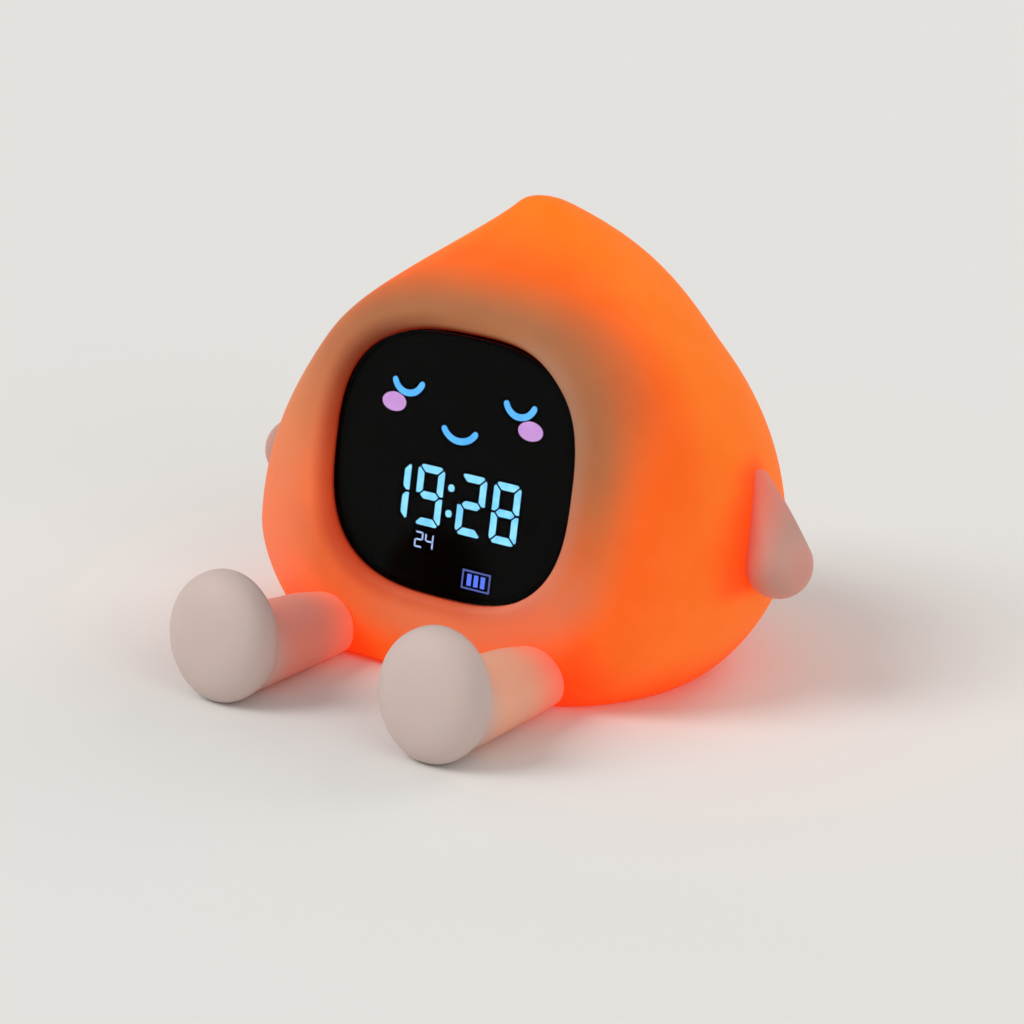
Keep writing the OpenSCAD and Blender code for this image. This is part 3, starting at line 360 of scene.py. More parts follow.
siliconeBody = makeBody()
opening, bevel = bodyShape["floorOpening"], bodyShape["floorBevel"]
carve(siliconeBody, turnedCutter("floorCut", [
    (opening + bevel, -bodyShape["cutBelow"]), (opening + bevel, 0), (opening, bevel),
    (opening, bodyShape["cutAbove"])]))
siliconeBody.data.polygons.foreach_set("use_smooth", [True] * len(siliconeBody.data.polygons))
siliconeBody.data.set_sharp_from_angle(angle=math.radians(bodyShape["sharpAngle"]))
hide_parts("silicone_skin")
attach(siliconeBody, "clock")
print("soft body made,", len(siliconeBody.data.vertices), "points")

# arms and legs, each moulded on to the body
limbShape = {
    "footX": 27.0, "footY": 74.6, "footHalfWidth": 12.5, "footHalfDepth": 7.4,
    "footHalfHeight": 14.5, "footFullness": 2.5, "footTurn": 125, "footRings": 36,
    "legRadius": 9.1, "legEnd": 29.0, "legRings": 40, "legPole": 1.0,
    "legSteps": [(0.14, 1.03), (0.2, 1.01), (0.45, 0.96), (0.65, 0.9), (0.82, 0.81), (1, 0.6)],
    "creaseAt": 0.16, "creaseRings": 8, "creaseDrop": 1.3, "creaseRun": 1.6,
    "shoulder": (55.5, 6.5, 48.0), "shoulderRadius": 2.4, "shoulderRings": 9,
    "hand": (64.3, 1.5, 32.0), "handRadius": 7.5, "handRings": 22,
    "armRings": 18, "armSwell": 0.3, "sides": 72, "seat": 1.2,
}


def seated(p):
    # a limb's point inside the body comes out to just under the silicone's outside
    d = p - core
    surface = formPoint(d, limbShape["seat"])
    return surface if d.length < (surface - core).length else p


def legMesh(side):
    shape = limbShape
    x, sides = side * shape["footX"], shape["sides"]
    full = 2 / shape["footFullness"]
    stations = []
    for k in range(1, shape["footRings"] + 1):
        a = math.radians(shape["footTurn"]) * k / shape["footRings"]
        c, s = math.cos(a), math.sin(a) ** full
        stations.append((shape["footY"] + shape["footHalfDepth"] * math.copysign(abs(c) ** full, c),
                         shape["footHalfWidth"] * s, shape["footHalfHeight"] * s,
                         shape["footHalfHeight"]))
    # a small round crease, then the leg
    y0, w0, h0, z0 = stations[-1]
    r, end, span = shape["legRadius"], shape["legEnd"], shape["footY"] - shape["legEnd"]
    crease, steps = shape["creaseAt"], shape["legSteps"]
    y1 = shape["footY"] - span * crease
    for k in range(1, shape["creaseRings"] + 1):
        t = k / shape["creaseRings"]
        drop = math.sin(t * math.pi / 2) ** shape["creaseDrop"]
        stations.append((y0 + (y1 - y0) * t ** shape["creaseRun"], w0 + (r - w0) * drop,
                         h0 + (r - h0) * drop, z0 + (r - z0) * drop))
    for k in range(1, shape["legRings"] + 1):
        t = crease + (1 - crease) * k / shape["legRings"]
        for (t0, r0), (t1, r1) in zip(steps, steps[1:]):
            if t0 <= t <= t1 + tiny:
                share = r0 + (r1 - r0) * (t - t0) / (t1 - t0)
        stations.append((shape["footY"] - span * t, r * share, r * share, r * share))
    points = [Vector((x, -shape["footY"] - shape["footHalfDepth"], shape["footHalfHeight"]))]
    for y, w, h, z in stations:
        for j in range(sides):
            a = 2 * math.pi * j / sides
            points.append(Vector((x + w * math.cos(a), -y, z + h * math.sin(a))))
    points.append(Vector((x, shape["legPole"] - end, stations[-1][3])))
    return points, len(stations)


def armMesh(side):
    # a drop: a round hand, a straight taper and a small round shoulder
    shape = limbShape
    shoulder = Vector((side * shape["shoulder"][0], *shape["shoulder"][1:]))
    hand = Vector((side * shape["hand"][0], *shape["hand"][1:]))
    small, big = shape["shoulderRadius"], shape["handRadius"]
    length = (hand - shoulder).length
    axis = (hand - shoulder).normalized()
    lean = math.asin((big - small) / length)
    across = axis.orthogonal().normalized()
    other = axis.cross(across)
    stations = []
    for k in range(1, shape["shoulderRings"] + 1):
        share = k / shape["shoulderRings"]
        t = math.pi / 2 * (1 - share) + lean * share
        stations.append((-small * math.sin(t), small * math.cos(t)))
    s0, r0 = stations[-1]
    s1, r1 = length - big * math.sin(lean), big * math.cos(lean)
    for k in range(1, shape["armRings"] + 1):
        t = k / shape["armRings"]
        swell = shape["armSwell"] * math.sin(math.pi * t)
        stations.append((s0 + (s1 - s0) * t, r0 + (r1 - r0) * t + swell))
    for k in range(1, shape["handRings"]):
        t = (math.pi / 2 + lean) * k / shape["handRings"] - lean
        stations.append((length + big * math.sin(t), big * math.cos(t)))
    points = [shoulder - axis * small]
    for s, r in stations:
        for j in range(shape["sides"]):
            t = 2 * math.pi * j / shape["sides"]
            points.append(shoulder + axis * s + (across * math.cos(t) + other * math.sin(t)) * r)
    points.append(hand + axis * big)
    return points, len(stations)


limbs = []
for limbName, node, side, maker in (
    ("leftLeg", "left_leg", 1, legMesh), ("rightLeg", "right_leg", -1, legMesh),
    ("leftArm", "left_arm", 1, armMesh), ("rightArm", "right_arm", -1, armMesh),
):
    limbPoints, rings = maker(side)
    sides = limbShape["sides"]
    last = 1 + (rings - 1) * sides
    limbFaces = [(0, 1 + (j + 1) % sides, 1 + j) for j in range(sides)]
    limbFaces += ringFaces(1, rings, sides)
    limbFaces += [(last + j, last + (j + 1) % sides, len(limbPoints) - 1) for j in range(sides)]
    limb = meshPiece(limbName, [toScene(seated(p)) for p in limbPoints], limbFaces)
    fixNormals(limb)
    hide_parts(node)
    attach(limb, "clock")
    limbs.append(limb)
print("arms and legs made")

# small printed marks on the keys and the panel, raised by the thickness of the ink
markShape = {
    "ink": 0.1, "sunk": 0.02, "line": 0.4, "reach": 1.35, "ringSteps": 32,
    "hourHand": 0.75, "minuteHand": 0.8, "bellRadius": 0.9, "bellRise": 0.15, "bellFoot": -0.65,
    "bellTurn": 15, "clapperDrop": 1.05, "clapperRadius": 0.28, "clapperSteps": 16,
    "sunRadius": 0.62, "rayStart": 0.95, "rays": 8, "offRadius": 0.75, "onHalf": 0.85,
    "panelFace": 55.5, "rowHeight": 17.6, "offAt": -12.9, "onAt": -8.7, "chargeAt": 10.2,
}


def inkBar(x0, y0, x1, y1):
    # a straight line of ink with square ends
    d = Vector((x1 - x0, y1 - y0)).normalized() * markShape["line"] / 2
    return [(x0 - d.y, y0 + d.x), (x0 + d.y, y0 - d.x), (x1 + d.y, y1 - d.x), (x1 - d.y, y1 + d.x)]


def inkDisc(x, y, r, steps=24):
    return [(x + r * math.cos(2 * math.pi * i / steps), y + r * math.sin(2 * math.pi * i / steps))
            for i in range(steps)]


def inkMark(name, shapes, x, y, z, body, rings=()):
    # flat shapes and rings raised from the surface at y, which faces backwards
    points, faces = [], []
    bottom, top = -markShape["sunk"], markShape["ink"]
    for shape in shapes:
        n, at = len(shape), len(points)
        points += [(x + p[0] * mm, y + h * mm, z + p[1] * mm) for h in (bottom, top) for p in shape]
        faces += [tuple(range(at, at + n)), tuple(range(at + 2 * n - 1, at + n - 1, -1))]
        faces += [(at + i, at + n + i, at + n + (i + 1) % n, at + (i + 1) % n) for i in range(n)]
    for u, v, r in rings:
        at, half, steps = len(points), markShape["line"] / 2, markShape["ringSteps"]
        for h, radius in ((bottom, r - half), (bottom, r + half), (top, r + half), (top, r - half)):
            points += [(x + p[0] * mm, y + h * mm, z + p[1] * mm) for p in inkDisc(u, v, radius, steps)]
        faces += ringFaces(at, 4, steps, closed=True)
    mark = meshPiece(name, points, faces, False)
    fixNormals(mark)
    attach(mark, body)
    return mark


reach, thin = markShape["reach"], markShape["line"] / 2
bellRadius, clapperDrop = markShape["bellRadius"], markShape["clapperDrop"]
bell = []
for degrees in range(0, 181, markShape["bellTurn"]):
    a = math.radians(degrees)
    bell.append((bellRadius * math.cos(a), markShape["bellRise"] + bellRadius * math.sin(a)))
bell += [(-clapperDrop, markShape["bellFoot"]), (clapperDrop, markShape["bellFoot"])]
clapper = inkDisc(0, -clapperDrop, markShape["clapperRadius"], markShape["clapperSteps"])
rays = []
for i in range(markShape["rays"]):
    c, s = (turn(2 * math.pi * i / markShape["rays"]) for turn in (math.cos, math.sin))
    rays.append(inkBar(markShape["rayStart"] * c, markShape["rayStart"] * s, reach * c, reach * s))
cross = [
    (thin, thin), (thin, reach), (-thin, reach), (-thin, thin), (-reach, thin), (-reach, -thin),
    (-thin, -thin), (-thin, -reach), (thin, -reach), (thin, -thin), (reach, -thin), (reach, thin),
]
# the hands of the small clock are one corner
hour, minute = markShape["hourHand"], markShape["minuteHand"]
clockHands = [(-hour, -thin), (thin, -thin), (thin, minute), (-thin, minute), (-thin, thin), (-hour, thin)]
keyMarks = {
    "key_mode": ([clockHands], [(0, 0, reach)]),
    "key_alarm": ([bell, clapper], []),
    "key_light": ([inkDisc(0, 0, markShape["sunRadius"])] + rays, []),
    "key_up": ([cross], []),
    "key_down": ([[(-reach, -thin), (reach, -thin), (reach, thin), (-reach, thin)]], []),
}
marks = []
for node, (shapes, rings) in keyMarks.items():
    low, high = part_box(node)
    marks.append(inkMark(node.replace("key_", "mark_"), shapes, (low[0] + high[0]) / 2, high[1],
                         (low[2] + high[2]) / 2, node, rings))
panelFace = (markShape["panelFace"] + form["axisY"]) * mm
rowHeight = markShape["rowHeight"] * mm
bolt = [(0.3, 1.0), (-0.6, -0.15), (-0.05, -0.15)]
bolt += [(-u, -v) for u, v in bolt]
onBar = inkBar(0, -markShape["onHalf"], 0, markShape["onHalf"])
for name, shapes, at, rings in (
    ("mark_off", [], "offAt", [(0, 0, markShape["offRadius"])]),
    ("mark_on", [onBar], "onAt", []),
    ("mark_charge", [bolt], "chargeAt", []),
):
    marks.append(inkMark(name, shapes, markShape[at] * mm, panelFace, rowHeight, "clock", rings))
print("key marks made")


def newMaterial(name):
    material = bpy.data.materials.new(name)
    material.use_nodes = True
    tree = material.node_tree
    return material, tree, tree.nodes["Principled BSDF"]


def addNode(tree, kind, **values):
    node = tree.nodes.new(kind)
    for key, value in values.items():
        if key in node.inputs:
            node.inputs[key].default_value = value
        else:
            setattr(node, key, value)
    return node


def setSockets(shader, **sockets):
    for key, value in sockets.items():
        shader.inputs[key.replace("_", " ")].default_value = value


def surfaceBump(tree, shader, scale, strength, distance, detail=4.0, roughness=0.6):
    # fine relief from the piece's own coordinates
    place = addNode(tree, "ShaderNodeTexCoord")
    noise = addNode(tree, "ShaderNodeTexNoise", Scale=scale, Detail=detail, Roughness=roughness)
    bump = addNode(tree, "ShaderNodeBump", Strength=strength, Distance=distance)
    tree.links.new(place.outputs["Object"], noise.inputs["Vector"])
    tree.links.new(noise.outputs["Fac"], bump.inputs["Height"])
    tree.links.new(bump.outputs["Normal"], shader.inputs["Normal"])
    return place


def colourRamp(tree, stops):
    # a new ramp has two stops already
    ramp = addNode(tree, "ShaderNodeValToRGB")
    for element, (at, colour) in zip(ramp.color_ramp.elements, stops):
        element.position = at
        element.color = (*colour, 1)
    return ramp


def mathOf(tree, operation, a, b=None, c=None):
    node = addNode(tree, "ShaderNodeMath", operation=operation)
    for i, value in enumerate((a, b, c)):
        if value is None:
            continue
        if isinstance(value, (int, float)):
            node.inputs[i].default_value = value
        else:
            tree.links.new(value, node.inputs[i])
    return node.outputs[0]


def rangeOf(tree, value, low, high, start=0.0, end=1.0):
    node = addNode(tree, "ShaderNodeMapRange", interpolation_type="SMOOTHSTEP")
    tree.links.new(value, node.inputs["Value"])
    for key, number in (("From Min", low), ("From Max", high), ("To Min", start), ("To Max", end)):
        node.inputs[key].default_value = number
    return node.outputs["Result"]


def mixColour(tree, factor, a, b):
    node = addNode(tree, "ShaderNodeMix", data_type="RGBA")
    for socket, value in ((node.inputs[0], factor), (node.inputs[6], a), (node.inputs[7], b)):
        if isinstance(value, tuple):
            socket.default_value = (*value, 1)
        elif isinstance(value, (int, float)):
            socket.default_value = value
        else:
            tree.links.new(value, socket)
    return node.outputs[2]


def product(tree, first, *others):
    for other in others:
        first = mathOf(tree, "MULTIPLY", first, other)
    return first


def facePlaces(tree):
    # millimetres right of, above and out of the lens middle, behind the body's axis and above the table
    place = addNode(tree, "ShaderNodeTexCoord")
    split = addNode(tree, "ShaderNodeSeparateXYZ")
    tree.links.new(place.outputs["Object"], split.inputs[0])
    x = product(tree, split.outputs[0], 1 / mm)
    y = mathOf(tree, "MULTIPLY_ADD", split.outputs[1], 1 / mm, -form["axisY"])
    z = product(tree, split.outputs[2], 1 / mm)
    dy = mathOf(tree, "ADD", y, form["faceDistance"])
    dz = mathOf(tree, "SUBTRACT", z, form["faceHeight"])
    up = mathOf(tree, "ADD", product(tree, dy, math.sin(tilt)), product(tree, dz, math.cos(tilt)))
    out = mathOf(tree, "ADD", product(tree, dy, -math.cos(tilt)), product(tree, dz, math.sin(tilt)))
    return {"x": x, "y": y, "z": z, "up": up, "out": out}


def lensRing(tree, at):
    # 1 on the edge of the lens opening, growing outwards
    n = form["lensSquareness"]
    across, tall = (
        mathOf(tree, "POWER", mathOf(tree, "DIVIDE", mathOf(tree, "ABSOLUTE", at[way]), form[half]), n)
        for way, half in (("x", "lensHalfWidth"), ("up", "lensHalfHeight")))
    return mathOf(tree, "POWER", mathOf(tree, "ADD", across, tall), 1 / n)


def hypotenuse(tree, a, b):
    return mathOf(tree, "SQRT", mathOf(tree, "ADD", product(tree, a, a), product(tree, b, b)))


# colours of the lit silicone: the glow of the lamp inside, painted as emission, and the silicone's own
# colour, both with painted shade and painted daylight in places
glow = {
    "top": (0.74, 0.134, 0.001), "side": (0.74, 0.114, 0.013), "front": (0.72, 0.058, 0.004),
    "low": (0.80, 0.034, 0.000), "root": (0.86, 0.012, 0.000), "shadow": (0.055, 0.008, 0.001),
    "daylightLow": (0.60, 0.056, 0.010), "daylightHigh": (0.34, 0.088, 0.016), "lip": (0.14, 0.004, 0.001),
    "ledge": (0.42, 0.050, 0.012), "edge": (0.42, 0.022, 0.004),
    "litBase": (0.27, 0.066, 0.010), "shadedBase": (0.32, 0.140, 0.064), "daylightBase": (0.36, 0.165, 0.095),
    "lipBase": (0.10, 0.020, 0.010), "darkBase": (0.08, 0.030, 0.018), "paleBase": (0.33, 0.230, 0.165),
    "cloud": (0.6, 0.25, 0.08), "cloudScale": 90.0, "cloudDetail": 2.0,
    "shadeAmount": 0.95, "edgeAmount": 0.75, "cloudAmount": 0.06,
    "strength": 1.0, "roughness": 0.6, "specular": 0.06,
}
# where each tone starts and ends, then its amounts there if not 0 and 1: ring values count from the
# opening's edge at 1, the others are millimetres, and left and right are those seen from the front
glowSpans = {
    "inFront": (-16, -6), "rimShade": (1.16, 1.56, 1, 0), "shadeLean": (-20, 28),
    "topTone": (10, 92), "lowTone": (0, 17, 1, 0), "frontRing": (1.5, 2.0, 0.8, 0), "frontOut": (-26, -10),
    "daylightLeft": (-22, -46), "daylightTop": (90, 66), "daylightForward": (16, -20), "daylightBottom": (4, 18),
    "daylightTone": (-34, 24), "ledgeRing": (1.18, 1.52, 0.75, 0), "ledgeDown": (-8, -24),
    "ledgeRight": (-26, -2, 0.3, 1), "edgeRing": (1.0, 1.17, 1, 0), "edgeLeft": (6, -22, 0, 0.85),
    "edgeDown": (-18, -32, 0, 0.5), "edgeRight": (4, 22, 0, 0.6), "haloRing": (1.25, 1.6, 0.1, 0.75),
    "lipRing": (1.002, 1.03, 1, 0), "lipFront": (1.2, -0.4), "lipBack": (-9, -6), "cloud": (0.35, 0.65),
}
# how the shade of the display's housing grows to the upper right: by distance aside, to the right and up
shadeLean = {"aside": 0.15, "right": 0.27, "up": 0.95}
# the redder glow on the body round a leg and an arm, in millimetres; armSpread counts in its own width
haloShape = {
    "legSpread": (-1, 11, 1, 0), "legFront": (-14, -6), "armWidth": 14, "armBulge": 24,
    "armSpread": (0.1, 1, 1, 0), "armBehind": (8, -1), "overShoulder": (8, 1), "underHand": (-9, -4),
    "armSide": (44, 50),
}


def limbHalo(tree, at):
    # how near the body's surface is to a leg or an arm, 1 right beside it
    shape, halo = limbShape, haloShape
    y, z, aside = at["y"], at["z"], mathOf(tree, "ABSOLUTE", at["x"])
    beside = mathOf(tree, "SUBTRACT", aside, shape["footX"])
    above = mathOf(tree, "SUBTRACT", z, shape["legRadius"])
    leg = mathOf(tree, "SUBTRACT", hypotenuse(tree, beside, above), shape["legRadius"])
    leg = product(tree, rangeOf(tree, leg, *halo["legSpread"]), rangeOf(tree, at["out"], *halo["legFront"]))
    top, low = shape["shoulder"], shape["hand"]
    overTop, overLow = (mathOf(tree, "SUBTRACT", z, end[2]) for end in (top, low))
    along = mathOf(tree, "DIVIDE", overTop, low[2] - top[2])
    along = mathOf(tree, "MINIMUM", mathOf(tree, "MAXIMUM", along, 0), 1)
    middleY = mathOf(tree, "MULTIPLY_ADD", along, low[1] - top[1], top[1])
    middleZ = mathOf(tree, "MULTIPLY_ADD", along, low[2] - top[2], top[2])
    size = mathOf(tree, "MULTIPLY_ADD", along, shape["handRadius"] - shape["shoulderRadius"],
                  shape["shoulderRadius"])
    behind = mathOf(tree, "SUBTRACT", y, middleY)
    arm = mathOf(tree, "SUBTRACT", hypotenuse(tree, behind, mathOf(tree, "SUBTRACT", z, middleZ)), size)
    # it spreads widest halfway down the arm, and less behind it
    bulge = product(tree, along, mathOf(tree, "SUBTRACT", 1, along))
    width = mathOf(tree, "MULTIPLY_ADD", bulge, halo["armBulge"], halo["armWidth"])
    arm = mathOf(tree, "DIVIDE", arm, width)
    arm = product(tree, *(rangeOf(tree, value, *halo[key]) for value, key in (
        (arm, "armSpread"), (behind, "armBehind"), (overTop, "overShoulder"), (overLow, "underHand"),
        (aside, "armSide"))))
    return mathOf(tree, "MAXIMUM", leg, arm)


siliconeGrain = {"scale": 1400.0, "strength": 0.08, "distance": 0.00003, "detail": 3.0}


def litSilicone():
    material, tree, shader = newMaterial("litSilicone")
    at = facePlaces(tree)
    at["ring"] = lensRing(tree, at)

    def spans(way, *keys):
        # product of the named spans along one direction
        return product(tree, *(rangeOf(tree, at[way], *glowSpans[key]) for key in keys))

    infront = spans("out", "inFront")
    # the display's housing keeps the lamp off the rim, most at the upper right
    across = mathOf(tree, "MULTIPLY_ADD", mathOf(tree, "ABSOLUTE", at["x"]), shadeLean["aside"],
                    product(tree, at["x"], shadeLean["right"]))
    lean = mathOf(tree, "MULTIPLY_ADD", at["up"], shadeLean["up"], across)
    shade = product(tree, spans("ring", "rimShade"), infront, rangeOf(tree, lean, *glowSpans["shadeLean"]))
    warm = mixColour(tree, spans("z", "topTone"), glow["side"], glow["top"])
    warm = mixColour(tree, spans("z", "lowTone"), warm, glow["low"])
    faceTone = product(tree, spans("ring", "frontRing"), spans("out", "frontOut"))
    warm = mixColour(tree, faceTone, warm, glow["front"])
    # painted daylight pales the left side, seen from the front, in the glow and in the base colour
    paintedDaylight = product(tree, spans("x", "daylightLeft"), spans("z", "daylightTop"), spans("y", "daylightForward"),
                   spans("z", "daylightBottom"))
    daylightTone = mixColour(tree, spans("up", "daylightTone"), glow["daylightLow"], glow["daylightHigh"])
    warm = mixColour(tree, paintedDaylight, warm, daylightTone)
    # painted shade dims the glow on the ledge below the lens
    ledge = product(tree, spans("ring", "ledgeRing"), spans("up", "ledgeDown"), infront)
    warm = mixColour(tree, ledge, warm, glow["ledge"])
    # less lamplight reaches the edge of the opening
    edge = product(tree, spans("ring", "edgeRing"), infront)
    warm = mixColour(tree, product(tree, edge, glow["edgeAmount"]), warm, glow["edge"])
    warm = mixColour(tree, product(tree, limbHalo(tree, at), spans("ring", "haloRing")), warm, glow["root"])
    warm = mixColour(tree, product(tree, shade, glow["shadeAmount"]), warm, glow["shadow"])
    # the wall of the lens opening lies in its own shade
    lip = product(tree, spans("ring", "lipRing"), spans("out", "lipFront", "lipBack"))
    warm = mixColour(tree, lip, warm, glow["lip"])
    tree.links.new(warm, shader.inputs["Emission Color"])
    base = mixColour(tree, shade, glow["litBase"], glow["shadedBase"])
    # painted daylight pales the ledge's base colour, less on the left
    daylitLedge = product(tree, ledge, spans("x", "ledgeRight"))
    base = mixColour(tree, mathOf(tree, "MAXIMUM", paintedDaylight, daylitLedge), base, glow["daylightBase"])
    # daylight misses the left and lower edge and falls on the right one
    turned = mathOf(tree, "MAXIMUM", spans("x", "edgeLeft"), spans("up", "edgeDown"))
    base = mixColour(tree, product(tree, edge, turned), base, glow["darkBase"])
    base = mixColour(tree, product(tree, edge, spans("x", "edgeRight")), base, glow["paleBase"])
    base = mixColour(tree, lip, base, glow["lipBase"])
    # slight clouding of the moulded silicone
    place = surfaceBump(tree, shader, **siliconeGrain, roughness=0.5)
    cloud = addNode(tree, "ShaderNodeTexNoise", Scale=glow["cloudScale"], Detail=glow["cloudDetail"])
    tree.links.new(place.outputs["Object"], cloud.inputs["Vector"])
    cloudy = mixColour(tree, glow["cloudAmount"], base, glow["cloud"])
    base = mixColour(tree, rangeOf(tree, cloud.outputs["Fac"], *glowSpans["cloud"]), base, cloudy)
    tree.links.new(base, shader.inputs["Base Color"])
    setSockets(shader, Emission_Strength=glow["strength"], Roughness=glow["roughness"],
               Specular_IOR_Level=glow["specular"])
    return material


# pale silicone of the limbs, with painted light: glow from the lit body that reddens them towards it, rim
# light on the hands, daylight on the leg seen on the right from the front and shade on the other; the spans
# are millimetres
paleTones = {
    "foot": (0.59, 0.475, 0.438), "legDaylit": (0.78, 0.45, 0.31), "legShaded": (0.66, 0.29, 0.24),
    "legRoot": (0.72, 0.27, 0.19), "hand": (0.50, 0.295, 0.245), "armRoot": (0.66, 0.19, 0.13),
    "unlit": (0, 0, 0), "legLight": (0.10, 0.012, 0.004), "rootLight": (0.32, 0.030, 0.012),
    "armLight": (0.16, 0.012, 0.006), "rimLight": (0.14, 0.020, 0.010),
}
paleSpans = {
    "daylitSide": (-10, 10), "onArm": (46, 50), "onLeg": (-73, -59), "legRoot": (-53, -36),
    "armRoot": (56, 69, 1, 0), "armSide": (66, 72), "handBottom": (31, 24),
}


def paleSilicone():
    material, tree, shader = newMaterial("paleSilicone")
    surfaceBump(tree, shader, **siliconeGrain)
    at, tones = facePlaces(tree), paleTones
    at["aside"] = mathOf(tree, "ABSOLUTE", at["x"])
    daylitSide, onArm, onLeg, atRoot, armRoot, armSide, handBottom = (
        rangeOf(tree, at[way], *paleSpans[key]) for way, key in (
            ("x", "daylitSide"), ("aside", "onArm"), ("y", "onLeg"), ("y", "legRoot"), ("aside", "armRoot"),
            ("aside", "armSide"), ("z", "handBottom")))
    # painted daylight on the leg on the right, seen from the front, painted shade on the left one, and
    # painted glow from the body reddening both at the root
    legTone = mixColour(tree, daylitSide, tones["legShaded"], tones["legDaylit"])
    leg = mixColour(tree, atRoot, mixColour(tree, onLeg, tones["foot"], legTone), tones["legRoot"])
    arm = mixColour(tree, armRoot, tones["hand"], tones["armRoot"])
    tree.links.new(mixColour(tree, onArm, leg, arm), shader.inputs["Base Color"])
    # painted glow from the lit body on the legs and arms, and painted rim light on the outer side and bottom
    # of the hands
    legLight = mixColour(tree, onLeg, tones["unlit"], tones["legLight"])
    legLight = mixColour(tree, atRoot, legLight, tones["rootLight"])
    armLight = mixColour(tree, armRoot, tones["unlit"], tones["armLight"])
    armLight = mixColour(tree, mathOf(tree, "MAXIMUM", armSide, handBottom), armLight, tones["rimLight"])
    tree.links.new(mixColour(tree, onArm, legLight, armLight), shader.inputs["Emission Color"])
    setSockets(shader, Emission_Strength=1.0, Roughness=0.55, Specular_IOR_Level=0.3, Subsurface_Weight=0.25,
               Subsurface_Radius=(1, 0.5, 0.35), Subsurface_Scale=0.004)
    return material


# moulded and painted surfaces: where the two tones part, how far the gloss varies, how broad the change is
mottle = {"stops": (0.35, 0.65), "glossVaries": 0.15, "broad": 9, "detail": 3.0}


def mottled(name, dark, light, roughness, scale=900.0, bump=0.12, distance=0.00004, **sockets):
    # slight colour change, uneven gloss and fine relief
    material, tree, shader = newMaterial(name)
    if bump:
        place = surfaceBump(tree, shader, scale, bump, distance)
    else:
        place = addNode(tree, "ShaderNodeTexCoord")
    broad = addNode(tree, "ShaderNodeTexNoise", Scale=scale / mottle["broad"], Detail=mottle["detail"])
    tree.links.new(place.outputs["Object"], broad.inputs["Vector"])
    ramp = colourRamp(tree, zip(mottle["stops"], (dark, light)))
    tree.links.new(broad.outputs["Fac"], ramp.inputs["Fac"])
    tree.links.new(ramp.outputs["Color"], shader.inputs["Base Color"])
    gloss = addNode(tree, "ShaderNodeMapRange")
    gloss.inputs["To Min"].default_value = roughness * (1 - mottle["glossVaries"])
    gloss.inputs["To Max"].default_value = min(1, roughness * (1 + mottle["glossVaries"]))
    tree.links.new(broad.outputs["Fac"], gloss.inputs["Value"])
    tree.links.new(gloss.outputs["Result"], shader.inputs["Roughness"])
    setSockets(shader, **sockets)
    return material


segmentNoise = {"scale": 500.0, "detail": 1.0, "stops": (0.32, 0.68)}


def litSegment(name, dim, colour, strength):
    # light guide with a slightly uneven lamp behind it
    material, tree, shader = newMaterial(name)
    place = addNode(tree, "ShaderNodeTexCoord")
    noise = addNode(tree, "ShaderNodeTexNoise", Scale=segmentNoise["scale"], Detail=segmentNoise["detail"])
    tree.links.new(place.outputs["Object"], noise.inputs["Vector"])
    ramp = colourRamp(tree, zip(segmentNoise["stops"], (dim, colour)))
    tree.links.new(noise.outputs["Fac"], ramp.inputs["Fac"])
    tree.links.new(ramp.outputs["Color"], shader.inputs["Emission Color"])
    setSockets(shader, Base_Color=(*colour, 1), Emission_Strength=strength, Roughness=0.5,
               Specular_IOR_Level=0.0)
    return material


# the display's small marks: a pale day number, a blue battery and its dim frame
markLights = {
    "day": (0.46, 0.60, 1.0), "battery": (0.12, 0.22, 1.0), "frame": (0.10, 0.13, 0.40),
    "dayEnd": 1.0, "batteryAt": (8.4, -23.7), "barsHalf": (3.1, 1.6), "strength": 1.7,
    "front": -1.34,
}


def litMarks():
    material, tree, shader = newMaterial("markLight")
    at, values = facePlaces(tree), markLights
    besides = [mathOf(tree, "ABSOLUTE", mathOf(tree, "SUBTRACT", at[way], middle))
               for way, middle in zip(("x", "up"), values["batteryAt"])]
    inside = product(tree, *(mathOf(tree, "LESS_THAN", beside, half)
                             for beside, half in zip(besides, values["barsHalf"])))
    colour = mixColour(tree, inside, values["frame"], values["battery"])
    colour = mixColour(tree, mathOf(tree, "LESS_THAN", at["x"], values["dayEnd"]), colour, values["day"])
    colour = mixColour(tree, mathOf(tree, "GREATER_THAN", at["out"], values["front"]), (0, 0, 0), colour)
    tree.links.new(colour, shader.inputs["Emission Color"])
    tree.links.new(colour, shader.inputs["Base Color"])
    setSockets(shader, Emission_Strength=values["strength"], Roughness=0.5, Specular_IOR_Level=0.0)
    return material


# the lens: where its printed border lies between two ring values, and its tint inside the border
lensLook = {"border": (0.962, 0.968), "tint": (0.46, 0.47, 0.49), "print": (0.0, 0.0, 0.0)}


def smokedLens():
    # dark acrylic with a printed black border
    material, tree, shader = newMaterial("smokedLens")
    border = rangeOf(tree, lensRing(tree, facePlaces(tree)), *lensLook["border"])
    tint = mixColour(tree, border, lensLook["tint"], lensLook["print"])
    tree.links.new(tint, shader.inputs["Base Color"])
    setSockets(shader, Transmission_Weight=1.0, Roughness=0.02, IOR=1.13)
    return material


